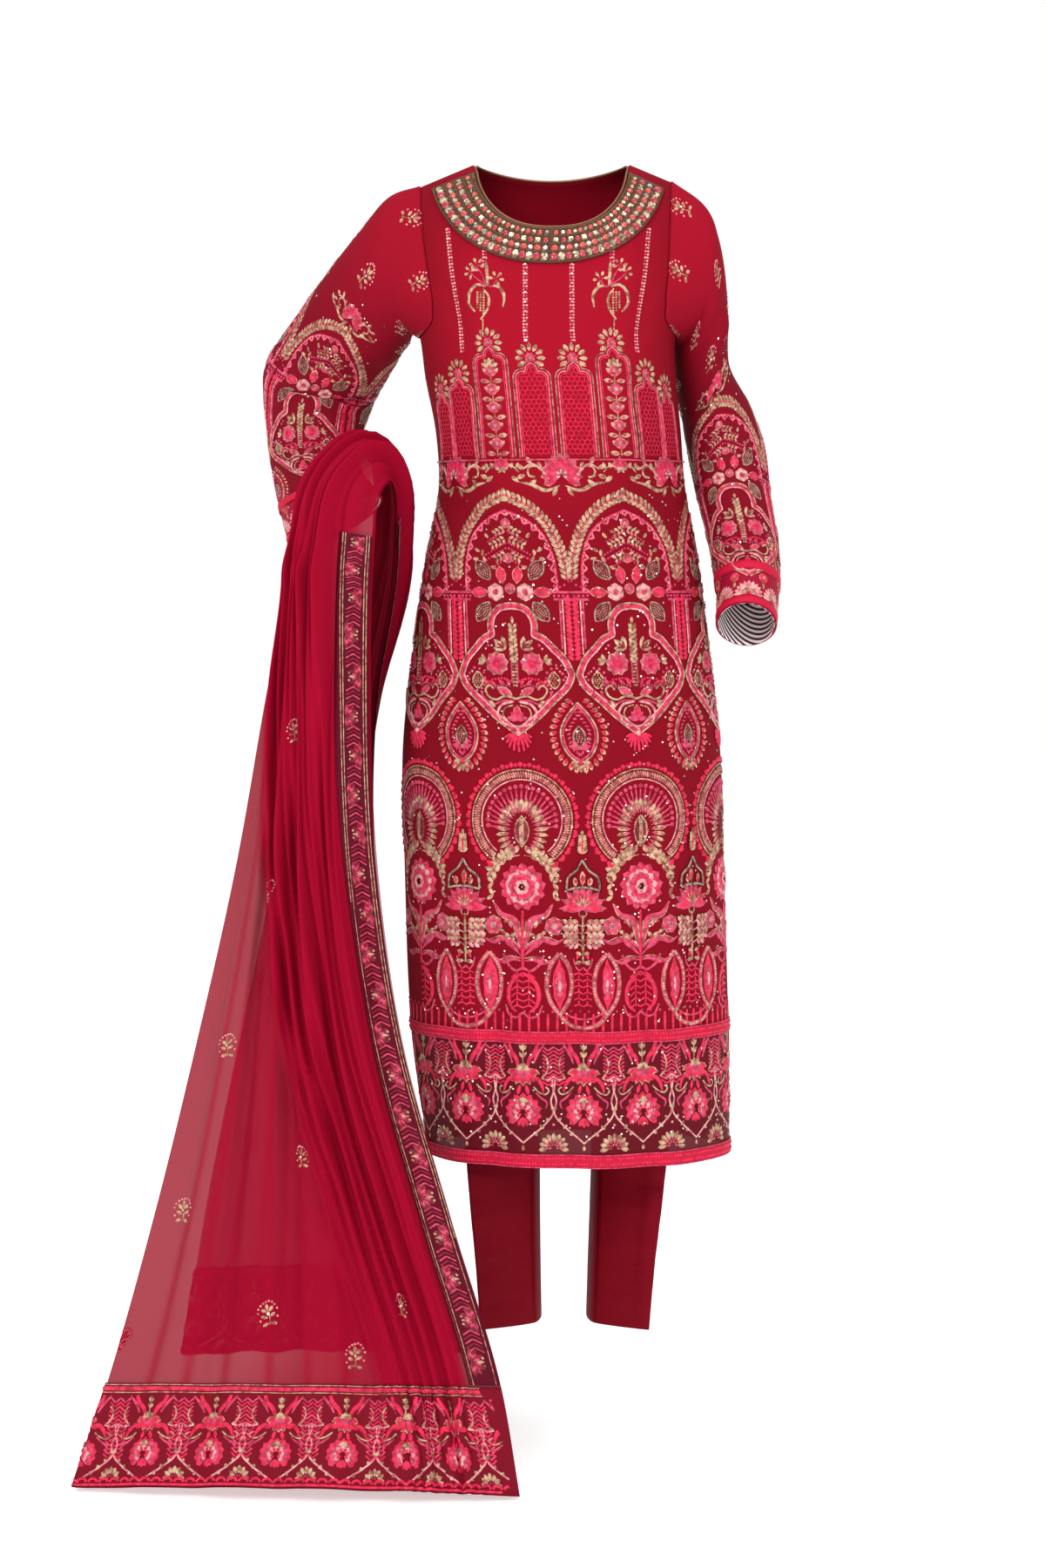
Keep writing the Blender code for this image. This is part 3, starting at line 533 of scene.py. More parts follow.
def laid(table, s, t, height):
    """Points of a flat drawing laid on a chart, raised by their heights; NaN beyond the cloth."""
    rows = table["heights"]
    i = np.interp(t, rows, np.arange(len(rows)), left=np.nan, right=np.nan)
    j = (s - table["s"][0]) / CHART_STEP
    bad = np.isnan(i) | (j < 0) | (j > len(table["s"]) - 1)
    i, j = np.where(bad, 0, i), np.where(bad, 0, j)
    i0 = np.minimum(i.astype(int), len(rows) - 2)
    j0 = np.minimum(j.astype(int), len(table["s"]) - 2)
    a, b = (i - i0)[:, None], (j - j0)[:, None]

    def read(grid):
        low = grid[i0, j0] * (1 - b) + grid[i0, j0 + 1] * b
        high = grid[i0 + 1, j0] * (1 - b) + grid[i0 + 1, j0 + 1] * b
        return low * (1 - a) + high * a

    out = read(table["out"])
    out /= np.linalg.norm(out, axis=1, keepdims=True)
    points = read(table["points"]) + out * (table["lift"] + height)[:, None]
    points[bad] = np.nan
    return points


# ---------------------------------------------------------------- drawings: stitches in millimetres

PINK, ROSE, BLUSH, GOLD, SILVER, RUBY, SEQUIN = range(7)
SEQUIN_LIFT = 1.2
SEQUIN_LEAN = 0.10


class Drawing:
    """Satin leaves, cords, knots and sequins, drawn flat in millimetres."""

    def __init__(self):
        self.leaves = []
        self.knots = []
        self.cords = []

    def beneath(self, x, y, thread=None):
        """How high the stitches of other threads stand under a point, so that the next one lies on them."""
        found = 0.0
        for other, px, py, way, long, wide, _, lift in self.leaves:
            if other == thread or abs(x - px) > long or abs(y - py) > long:
                continue
            ahead = (x - px) * np.cos(way) + (y - py) * np.sin(way)
            aside = (y - py) * np.cos(way) - (x - px) * np.sin(way)
            if 0 < ahead < long and abs(aside) < wide / 2:
                found = max(found, lift + OVERLAP_SHARE * leaf_top(wide))
        for other, path, wide, _, lift in self.cords:
            if other != thread and gap_to(path, x, y) < wide / 2:
                found = max(found, lift + OVERLAP_SHARE * cord_top(wide))
        return found

    def leaf(self, thread, x, y, turn, long, wide, blunt=0.0):
        """A satin-stitch leaf or petal from its foot at x, y, pointing at turn degrees."""
        way = np.radians(turn)
        lift = self.beneath(x + long / 2 * np.cos(way), y + long / 2 * np.sin(way), thread)
        self.leaves.append((thread, x, y, way, long, wide, blunt, lift))

    def knot(self, thread, x, y, size):
        self.knots.append((thread, x, y, size, self.beneath(x, y)))

    def knots_at(self, thread, size, places):
        for x, y in places:
            self.knot(thread, x, y, size)

    def knots_along(self, thread, path, pitch, size):
        self.knots_at(thread, size, spaced(path, pitch))

    def leaves_at(self, places, *kinds):
        """Leaves at x, y and turn; every place takes each kind: its thread, length, width and bluntness."""
        for x, y, turn in places:
            for thread, long, wide, blunt in kinds:
                self.leaf(thread, x, y, turn, long, wide, blunt)

    def cord(self, thread, path, wide, taper=0.0):
        path = np.asarray(path, float)
        x, y = spaced(path, 1e3)[0]
        self.cords.append((thread, path, wide, taper, self.beneath(x, y, thread)))

    def stretched(self, wide, tall):
        """The same drawing made wider or taller, its stitches moved and its cords bent with it."""
        made = Drawing()
        for thread, x, y, way, long, broad, blunt, lift in self.leaves:
            made.leaves.append((thread, x * wide, y * tall, way, long * tall, broad, blunt, lift))
        for thread, x, y, size, lift in self.knots:
            made.knots.append((thread, x * wide, y * tall, size, lift))
        for thread, path, broad, taper, lift in self.cords:
            made.cords.append((thread, path * (wide, tall), broad, taper, lift))
        return made

    def add(self, other, x=0.0, y=0.0, scale=1.0, turn=0.0, flip=False):
        """Another drawing, placed in this one, on what lies under its own 0."""
        angle, side = np.radians(turn), -1.0 if flip else 1.0
        cos, sin = np.cos(angle), np.sin(angle)

        def moved(px, py):
            px = px * side * scale
            py = py * scale
            return x + px * cos - py * sin, y + px * sin + py * cos

        base = self.beneath(x, y)
        for thread, px, py, way, long, wide, blunt, lift in other.leaves:
            nx, ny = moved(px, py)
            way = (np.pi - way if flip else way) + angle
            self.leaves.append((thread, nx, ny, way, long * scale, wide * scale, blunt, base + lift))
        for thread, px, py, size, lift in other.knots:
            self.knots.append((thread, *moved(px, py), size * scale, base + lift))
        for thread, path, wide, taper, lift in other.cords:
            nx, ny = moved(path[:, 0], path[:, 1])
            self.cords.append((thread, np.stack([nx, ny], axis=1), wide * scale, taper, base + lift))
        return self

    def both(self, other, x=0.0, y=0.0, scale=1.0):
        """Another drawing and its mirror image either side of the middle."""
        self.add(other, x, y, scale)
        return self.add(other, -x, y, scale, flip=True)


def way_along(path):
    """How far each point of a path is along it."""
    return np.concatenate([[0], np.cumsum(np.linalg.norm(np.diff(path, axis=0), axis=1))])


def spaced(path, pitch):
    """Points along a path at an even pitch."""
    path = np.asarray(path, float)
    way = way_along(path)
    count = max(1, int(round(way[-1] / pitch)))
    at = (np.arange(count) + 0.5) * way[-1] / count
    return np.stack([np.interp(at, way, path[:, 0]), np.interp(at, way, path[:, 1])], axis=1)


def gap_to(path, x, y):
    """How far a point is from a path."""
    start, step = path[:-1], np.diff(path, axis=0)
    length = np.maximum((step**2).sum(axis=1), 1e-9)
    share = np.clip((((x, y) - start) * step).sum(axis=1) / length, 0, 1)
    return np.linalg.norm(start + step * share[:, None] - (x, y), axis=1).min()


def leaf_top(wide):
    """How high a satin leaf stands."""
    return np.minimum(wide * LEAF_FULL * LEAF_HIGH, STITCH_HIGH)


def cord_top(wide):
    """How high a cord stands."""
    return np.minimum(wide * CORD_FULL * CORD_HIGH, STITCH_HIGH)


def along(path, pitch):
    """Points along a path and the direction there, in degrees."""
    path = np.asarray(path, float)
    points = spaced(path, pitch)
    way = way_along(path)
    at = (np.arange(len(points)) + 0.5) * way[-1] / len(points)
    step = np.diff(path, axis=0)
    piece = np.clip(np.searchsorted(way, at) - 1, 0, len(step) - 1)
    return zip(points, np.degrees(np.arctan2(step[piece, 1], step[piece, 0])))


def ring(turns, foot=0.0, x=0.0, y=0.0, lean=0.0):
    """Places on a circle, each turned outwards and then leant over."""
    angles = [np.radians(turn) for turn in turns]
    return [(x + foot * np.cos(a), y + foot * np.sin(a), turn + lean) for a, turn in zip(angles, turns)]


def arc(x, y, radius, start, end):
    """An arc from start to end degrees."""
    turn = np.radians(np.linspace(start, end, max(4, int(abs(end - start) * radius * 0.02))))
    return np.stack([x + radius * np.cos(turn), y + radius * np.sin(turn)], axis=1)


def curve(*points):
    """A smooth curve through a few points."""
    points = np.asarray(points, float)
    way = way_along(points)
    return smooth(way, points, np.linspace(0, way[-1], max(4, int(way[-1] / 2.4))))


def mirrored(path):
    """A path from its middle point out, with its mirror image in front of it."""
    path = np.asarray(path, float)
    return np.concatenate([path[::-1] * (-1, 1), path[1:]])


def offset(path, distance):
    """A path moved sideways to its left."""
    path = np.asarray(path, float)
    step = np.gradient(path, axis=0)
    step /= np.maximum(np.linalg.norm(step, axis=1, keepdims=True), 1e-9)
    return path + np.stack([-step[:, 1], step[:, 0]], axis=1) * distance


STITCH_HIGH = 0.95
OVERLAP_SHARE = 0.6
LEAF_CELLS = (2, 4)
LEAF_FULL = 1.15
LEAF_HIGH = 0.24
KNOT_HIGH = 0.62
CORD_FULL = 1.25
CORD_HIGH = 0.34
CORD_SPAN = np.array((-0.5, -0.27, 0.27, 0.5))
CORD_RISE = np.array((-0.25, 0.85, 0.85, -0.25))
CORD_PITCH = 2.4


def shape_of(make):
    """The points and the faces of a small shape that bmesh operators make."""
    cage = bmesh.new()
    make(cage)
    cage.verts.index_update()
    points = np.array([vertex.co for vertex in cage.verts])
    # Sorted, because the operators leave the faces in an order that changes from run to run.
    faces = sorted([vertex.index for vertex in face.verts] for face in cage.faces)
    cage.free()
    return points, faces


def dome(segments, rings):
    """The upper half of a small ball."""

    def make(cage):
        bmesh.ops.create_uvsphere(cage, u_segments=segments, v_segments=rings, radius=0.5)
        low = [vertex for vertex in cage.verts if vertex.co.z < -0.01]
        bmesh.ops.delete(cage, geom=low, context="VERTS")

    return make


knot_shape = dome(6, 4)


def leaf_shape(cage):
    bmesh.ops.create_grid(cage, x_segments=LEAF_CELLS[1], y_segments=LEAF_CELLS[0], size=0.5)


def sequin_shape(cage):
    bmesh.ops.create_circle(cage, cap_ends=True, segments=7, radius=0.5)


def leaf_points(leaves, grid):
    """Every leaf's points: a grid narrowed to a leaf and crowned along its middle."""
    rows = np.array(leaves, float)
    along_leaf = grid[:, 0] + 0.5
    across = grid[:, 1] * 2
    blunt = rows[:, 6:7]
    peak = 0.45 + 0.25 * blunt
    t = np.where(along_leaf < peak, along_leaf / peak / 2, 0.5 + (along_leaf - peak) / (1 - peak) / 2)
    width = 0.10 + 0.90 * np.sin(np.pi * t) ** (0.85 - 0.35 * blunt)
    wide = rows[:, 5:6] * LEAF_FULL
    x = along_leaf * rows[:, 4:5]
    y = across * width * wide / 2
    height = leaf_top(rows[:, 5:6]) * width * (1 - across**2) - 0.12 + rows[:, 7:8]
    cos, sin = np.cos(rows[:, 3:4]), np.sin(rows[:, 3:4])
    flat = np.stack([rows[:, 1:2] + x * cos - y * sin, rows[:, 2:3] + x * sin + y * cos, height], axis=-1)
    uv = np.broadcast_to(np.stack([x, y], axis=-1), flat.shape[:2] + (2,))
    return flat, uv


def dot_points(knots, grid, high):
    rows = np.array(knots, float)
    size = rows[:, 3:4]
    flat = np.stack(
        [
            rows[:, 1:2] + grid[:, 0] * size,
            rows[:, 2:3] + grid[:, 1] * size,
            grid[:, 2] * size * high + rows[:, 4:5],
        ],
        axis=-1,
    )
    uv = flat[..., :2] - rows[:, None, 1:3]
    return flat, uv


def cord_points(thread_path):
    """One cord's points and faces: a low rounded ribbon along its path."""
    _, path, wide, taper, lift = thread_path
    high = cord_top(wide)
    wide = wide * CORD_FULL
    way = way_along(path)
    count = max(2, int(np.ceil(way[-1] / CORD_PITCH)) + 1)
    at = np.linspace(0, way[-1], count)
    line = np.stack([np.interp(at, way, path[:, 0]), np.interp(at, way, path[:, 1])], axis=1)
    step = np.gradient(line, axis=0)
    step /= np.maximum(np.linalg.norm(step, axis=1, keepdims=True), 1e-9)
    side = np.stack([-step[:, 1], step[:, 0]], axis=1)
    share = at / max(way[-1], 1e-9)
    width = wide * (1 - taper * np.abs(2 * share - 1) ** 1.5)
    flat = line[:, None, :] + side[:, None, :] * (CORD_SPAN[:, None] * width[:, None, None])
    rise = lift + CORD_RISE[None, :] * high * np.ones(count)[:, None]
    points = np.concatenate([flat, rise[..., None]], axis=-1).reshape(-1, 3)
    uv = np.stack([np.repeat(at, 4), (CORD_SPAN[None, :] * width[:, None]).ravel()], axis=1)
    first = (np.arange(count - 1)[:, None] * 4 + np.arange(3)).ravel()
    faces = np.stack([first, first + 4, first + 5, first + 1], axis=1)
    return points, uv, faces


def stitched(name, drawing, table, looks, slot):
    """One piece of all the stitches of a drawing, laid on a cloth."""
    random = np.random.default_rng(1)
    leaf_grid, leaf_faces = shape_of(leaf_shape)
    knot_grid, knot_faces = shape_of(knot_shape)
    disc_grid, disc_faces = shape_of(sequin_shape)
    parts = []
    if drawing.leaves:
        flat, uv = leaf_points(drawing.leaves, leaf_grid)
        parts.append((flat, uv, leaf_faces, [row[0] for row in drawing.leaves]))
    sequins = [row for row in drawing.knots if row[0] == SEQUIN]
    knots = [row for row in drawing.knots if row[0] != SEQUIN]
    if knots:
        flat, uv = dot_points(knots, knot_grid, KNOT_HIGH)
        parts.append((flat, uv, knot_faces, [row[0] for row in knots]))
    if sequins:
        flat, uv = dot_points(sequins, disc_grid, 0.0)
        lean = random.normal(0, SEQUIN_LEAN, (len(sequins), 2))
        flat[..., 2] += SEQUIN_LIFT + (uv * lean[:, None, :]).sum(axis=-1)
        parts.append((flat, uv, disc_faces, [SEQUIN] * len(sequins)))
    points, uvs, faces, shades = [], [], [], []
    total = 0
    for flat, uv, shape_faces, threads in parts:
        count = flat.shape[1]
        points.append(flat.reshape(-1, 3))
        uvs.append(uv.reshape(-1, 2))
        starts = total + np.arange(len(flat)) * count
        for face in shape_faces:
            faces.append((starts[:, None] + np.array(face), np.array(threads)))
        total += flat.shape[0] * count
    for row in drawing.cords:
        flat, uv, cord_faces = cord_points(row)
        points.append(flat)
        uvs.append(uv)
        faces.append((cord_faces + total, np.full(len(cord_faces), row[0])))
        total += len(flat)
    points, uvs = np.concatenate(points), np.concatenate(uvs)
    place = laid(table, points[:, 0] / 1000, points[:, 1] / 1000, points[:, 2] / 1000)
    good = ~np.isnan(place[:, 0])
    kept, shades = [], []
    for corners, threads in faces:
        whole = good[corners].all(axis=1)
        kept.append(corners[whole])
        shades.append(threads[whole])
    return taken_up(mesh_from(name, place, kept, np.concatenate(shades), uvs, looks), (), slot)


def added(name, data):
    """An object in the scene."""
    made = bpy.data.objects.new(name, data)
    bpy.context.scene.collection.objects.link(made)
    return made


def mesh_from(name, points, faces, shades, uvs, looks):
    """A piece from arrays: points, groups of faces with as many corners each, and a look for each face."""
    used = np.zeros(len(points), bool)
    for group in faces:
        used[group.ravel()] = True
    number = np.cumsum(used) - 1
    loops = np.concatenate([number[group].ravel() for group in faces])
    sizes = np.concatenate([np.full(len(group), group.shape[1]) for group in faces])
    mesh = bpy.data.meshes.new(name)
    mesh.vertices.add(int(used.sum()))
    mesh.vertices.foreach_set("co", points[used].astype(np.float32).ravel())
    mesh.loops.add(len(loops))
    mesh.loops.foreach_set("vertex_index", loops.astype(np.int32))
    mesh.polygons.add(len(sizes))
    mesh.polygons.foreach_set("loop_start", (np.cumsum(sizes) - sizes).astype(np.int32))
    mesh.polygons.foreach_set("material_index", shades.astype(np.int32))
    mesh.update(calc_edges=True)
    layer = mesh.uv_layers.new(name="stitch")
    layer.data.foreach_set("uv", uvs[used][loops].astype(np.float32).ravel())
    for look in looks:
        mesh.materials.append(look)
    mesh.shade_smooth()
    return added(name, mesh)


# ---------------------------------------------------------------- motifs, in millimetres


def fan(thread, heart, count, reach, start=0.0, end=180.0, long=9.0, wide=4.2, blunt=0.4):
    """Petals spread round a point."""
    made = Drawing()
    made.leaves_at(ring(np.linspace(start, end, count), reach), (thread, long, wide, blunt))
    for x, y, _ in ring(np.linspace(start, end, max(3, count - 3)), reach * 0.62):
        made.knot(heart, x, y, 1.9)
    return made


def flower(thread, rim, heart, petals, reach):
    """A round flower: blunt petals in a rim of a second thread, and a knotted heart."""
    made = Drawing()
    turns = np.arange(petals) * 360 / petals + 90
    made.leaves_at(ring(turns), (rim, reach, reach * 5.0 / petals + 1.2, 0.9))
    for foot, (x, y, _) in zip(ring(turns, reach * 0.2), ring(turns, reach * 0.25)):
        made.leaf(thread, *foot, reach * 0.74, reach * 3.4 / petals, 0.9)
        made.knot(heart, x, y, reach * 0.2)
    made.knot(heart, 0, 0, reach * 0.3)
    return made


def sprig(dark=False):
    """A scattered sprig, about 24 mm tall."""
    leaf_thread, dot_thread = (PINK, PINK) if dark else (GOLD, BLUSH)
    leaves = ((-1, -9, 200), (1, -9, -20), (-1, -4, 160), (1, -3, 25), (-1, 1, 140), (1, 2, 45), (0, 3, 92))
    left_dots = ((-9, 6), (-6, 9), (-10, 2))
    right_dots = ((8, 8), (10, 4), (6, 11), (0, 12), (-3, 11), (3, 12.5), (9, -4), (-9, -6))
    made = Drawing()
    made.cord(leaf_thread, curve((0, -11), (1.0, -4), (0, 3)), 1.1)
    made.leaves_at(leaves, (leaf_thread, 7.2, 3.4, 0.5))
    made.knots_at(dot_thread, 2.5, left_dots + right_dots)
    made.knot(SEQUIN, 0, 0, 2.6)
    return made


def leaf_vine(path, long, wide, pitch):
    """A stem with leaves in pairs."""
    made = Drawing()
    made.cord(ROSE, path, 1.3)
    for (x, y), turn in along(path, pitch):
        made.leaves_at(((x, y, turn + 42), (x, y, turn - 42)), (GOLD, long, wide, 0.5))
    return made


def twin_cord(path, gap, wide, first, second):
    """Two cords side by side."""
    made = Drawing()
    made.cord(first, offset(path, gap / 2), wide)
    made.cord(second, offset(path, -gap / 2), wide)
    return made


def knot_leaf(thread, long, wide):
    """A leaf outlined in cord and filled with bullion knots, pointing up."""
    made = Drawing()
    t = np.linspace(0, 1, 12)
    half = wide / 2 * np.sin(np.pi * t) ** 0.8
    made.cord(thread, np.stack([half, t * long], axis=1), 1.3)
    made.cord(thread, np.stack([-half, t * long], axis=1), 1.3)
    for row in range(1, int(long / 2.1)):
        y = row * 2.1
        room = wide / 2 * np.sin(np.pi * y / long) ** 0.8 - 0.9
        count = int(room / 1.1)
        for x in np.linspace(-room, room, count) if count > 1 else ((0.0,) if room > 0.2 else ()):
            made.knot(thread, x, y, 1.9)
    return made


def satin_leaf(long, wide, thread=PINK):
    """A satin leaf in a rim of zari, pointing up."""
    made = Drawing()
    made.leaf(GOLD, 0, 0, 90, long, wide, 0.3)
    made.leaf(thread, 0, long * 0.08, 90, long * 0.84, wide * 0.74, 0.3)
    made.leaf(ROSE, 0, long * 0.22, 90, long * 0.5, wide * 0.2, 0.3)
    return made


def lattice(half, tall, cusp):
    """A honeycomb net that fills a niche."""
    made = Drawing()
    side = 3.3
    wide = side * np.sqrt(3)
    edges = []
    for row, y in enumerate(np.arange(2, tall + side, side * 1.5)):
        for x in np.arange(-12, 12) * wide + (row % 2) * wide / 2:
            top, right, low = (x, y + side), (x + wide / 2, y + side / 2), (x + wide / 2, y - side / 2)
            edges += [(top, right), (top, (x - wide / 2, y + side / 2)), (right, low)]
    for edge in edges:
        inside = [abs(x) < half and 1 < y < tall - cusp * (abs(x) > half * 0.3) - 1 for x, y in edge]
        if all(inside):
            made.cord(PINK, edge, 0.75)
    return made


NICHE_HEAD = 9.5


def niche(half, tall):
    """The frame of a tall niche from its foot at 0: round shoulders and a small cusped head."""
    top = tall - NICHE_HEAD
    side = [(half, 0), (half, top - 8)]
    shoulder = arc(half - 7.5, top - 7.5, 7.5, 0, 90)
    head = curve((6.4, top), (6.6, top + 3), (4.6, top + 6.5), (0, top + NICHE_HEAD))
    return np.concatenate([side, shoulder, head])


def framed_niche(half, tall, filling):
    made = Drawing()
    made.add(filling, 0, 0)
    outline = mirrored(niche(half, tall)[::-1])
    made.cord(PINK, outline, 2.2)
    made.cord(BLUSH, outline, 0.7)
    made.cord(SILVER, offset(outline, 3.0), 1.1)
    made.cord(ROSE, offset(outline, -2.4), 0.9)
    made.add(fan(GOLD, ROSE, 9, 7.4, -32, 212, 10.0, 5.0, 0.7), 0, tall + 5.5)
    made.add(fan(ROSE, ROSE, 9, 9.4, -32, 212, 5.6, 2.2, 0.7), 0, tall + 5.5)
    made.add(flower(ROSE, GOLD, BLUSH, 5, 5.4), 0, tall + 5.5)
    return made


def flower_ladder(tall):
    """Flowers and pairs of leaves stacked on a stem."""
    made = Drawing()
    made.cord(GOLD, [(0, 2), (0, tall - 16)], 1.0)
    side = Drawing()
    for y in np.arange(7, tall - 24, 20.0):
        for foot, turn, long in ((-3, 8, 13.0), (5, 38, 11.0)):
            side.leaf(GOLD, 1, y + foot, turn, long, 5.2, 0.5)
            side.leaf(ROSE, 3, y + foot + 0.3, turn, long * 0.55, 2.0, 0.5)
    made.both(side)
    for y in np.arange(16, tall - 20, 20.0):
        made.add(flower(ROSE, GOLD, BLUSH, 6, 6.8), 0, y)
    made.add(fan(GOLD, ROSE, 5, 2.0, 20, 160, 8.5, 4.2), 0, tall - 22)
    return made


def palmette(size):
    """A fan-shaped flower between two scrolls."""
    made = Drawing()
    rounds = ((14.6, 11, GOLD), (13.5, 11, ROSE), (10.5, 9, PINK), (7.5, 7, ROSE), (4.2, 5, BLUSH))
    for reach, count, thread in rounds:
        petals = ring(np.linspace(-30, 210, count), reach * 0.25)
        made.leaves_at(petals, (thread, reach * 0.95, reach * 0.42, 0.9))
    made.knot(GOLD, 0, 1.5, 3.4)
    wing = Drawing()
    wing.cord(GOLD, curve((2, -9), (14, -13), (26, -8), (36, -6)), 3.0, 0.7)
    wing.leaf(GOLD, 4, -10, -60, 9, 3.6, 0.2)
    wing.cord(GOLD, curve((13, -2), (19, 7), (27, 6), (27, -1), (22, -2)), 1.8)
    wing.cord(BLUSH, curve((10, -4), (16, 4), (24, 9), (31, 5)), 1.2)
    leaves = ((17, 3, 80), (24, 8, 60), (30, 5, 20), (21, -4, -40), (30, 0, -20), (12, -4, 110), (36, -6, 40))
    wing.leaves_at(leaves, (GOLD, 8.0, 3.8, 0.5))
    made.both(wing)
    return Drawing().add(made, scale=size)


def belt(half_pitch):
    """Lotus buds between the palmettes of the band under the niches."""
    bud = Drawing()
    for turn in (20, 55, 90, 125, 160):
        bud.leaf(GOLD, 0, -1, turn, 12.6, 5.8, 0.3)
        bud.leaf(PINK if turn in (55, 125) else ROSE, 0, 0, turn, 10.4, 4.8, 0.3)
    bud.leaves_at(ring((-20, -60, -120, -160)), (GOLD, 8.2, 4.0, 0.5))
    bud.cord(GOLD, curve((-20, -6), (-12, 1), (0, -3), (12, 1), (20, -6)), 1.6)
    for x in (-17, -11, 11, 17):
        bud.leaf(GOLD, x, -2, 90 - x * 1.5, 7.4, 3.6, 0.5)
    return Drawing().both(bud, half_pitch, 2)


def foils(half, tall, count, depth):
    """A pointed arch with scallops inside it, from the spring at 0 up to its tip."""
    t = np.linspace(0, 1, 60)
    x = half * (1 - t**2.4)
    y = tall * np.sin(t * np.pi / 2) ** 0.92 + tall * 0.10 * t**6
    line = np.stack([x, y], axis=1)
    way = way_along(line)
    share = way / way[-1] * count
    bulge = np.abs(np.sin(np.pi * share)) * depth
    return line, line - (offset(line, 1.0) - line) * (bulge[:, None] - depth)


def arch():
    """A scalloped arch on columns under a vine; its tip is at 0 and its columns end 172 mm lower."""
    made = Drawing()
    outer, inner = foils(53.5, 82.0, 9, 6.5)
    shift = np.array((0, -98.0))
    outer, inner = mirrored((outer + shift)[::-1]), mirrored((inner + shift)[::-1])
    made.cord(ROSE, outer, 2.4)
    made.cord(BLUSH, offset(outer, -0.6), 0.8)
    made.cord(ROSE, inner, 2.6)
    made.cord(BLUSH, inner, 0.9)
    made.knots_along(PINK, offset((outer + inner) / 2, 0.4), 3.8, 2.8)
    vine_half = curve((66, -88), (60, -54), (47, -24), (27, -3), (0, 10))
    for side in (1, -1):
        made.add(leaf_vine(vine_half * (side, 1), 10.0, 4.4, 6.0))
    capital = Drawing()
    capital.cord(ROSE, [(44, -99), (67.5, -99)], 2.4)
    capital.cord(ROSE, [(48, -107), (67.5, -107)], 2.6)
    capital.knots_at(ROSE, 3.4, ((49, -103), (54, -103), (59, -103), (64, -103)))
    capital.cord(BLUSH, [(57.6, -107), (57.6, -168)], 1.6)
    capital.cord(ROSE, [(54.6, -107), (54.6, -162)], 1.9)
    capital.leaves_at([(67.2, y, 148) for y in np.arange(-109, -176, -5.0)], (PINK, 8.6, 5.0, 0.7))
    capital.knots_at(ROSE, 3.2, ((61, -91), (56, -93), (63, -84), (50, -92)))
    return made.both(capital)


def bouquet():
    """Flowers among satin leaves and knotted leaves, under a tree of chevrons."""
    made = Drawing()
    side = Drawing()
    side.add(knot_leaf(SILVER, 27, 16), 23, 14, turn=-36)
    side.add(knot_leaf(SILVER, 27, 16), 25, -11, turn=-142)
    side.add(satin_leaf(23, 12.5), 25, 0, turn=-90)
    side.add(satin_leaf(21, 12.5), 8, 9, turn=-8)
    side.add(flower(BLUSH, SILVER, PINK, 6, 10.5), 17, 0)
    for y, reach in ((72, 13), (61, 18), (44, 12)):
        for x in np.arange(2.6, reach, 4.6):
            side.leaf(GOLD, x, y - 0.5 * x, 20, 6.6, 3.4, 0.6)
            side.leaf(GOLD, x, y - 0.5 * x, -75, 6.0, 3.2, 0.6)
    for y, reach in ((69, 24), (56, 31), (50, 31), (38, 22)):
        for x in np.arange(2.0, reach, 3.4):
            side.knot(ROSE, x, y - 0.55 * x, 2.9)
    leaves = ((31, 40, 100), (33, 45, 30), (35, 38, -10), (26, 33, 60), (14, 26, 20), (22, 60, 50))
    side.leaves_at(leaves, (GOLD, 8.0, 3.8, 0.6))
    made.both(side)
    for y, reach in ((4, 6.5), (38, 6.0), (77, 6.0)):
        made.add(flower(ROSE, GOLD, BLUSH, 6, reach), 0, y)
    return made


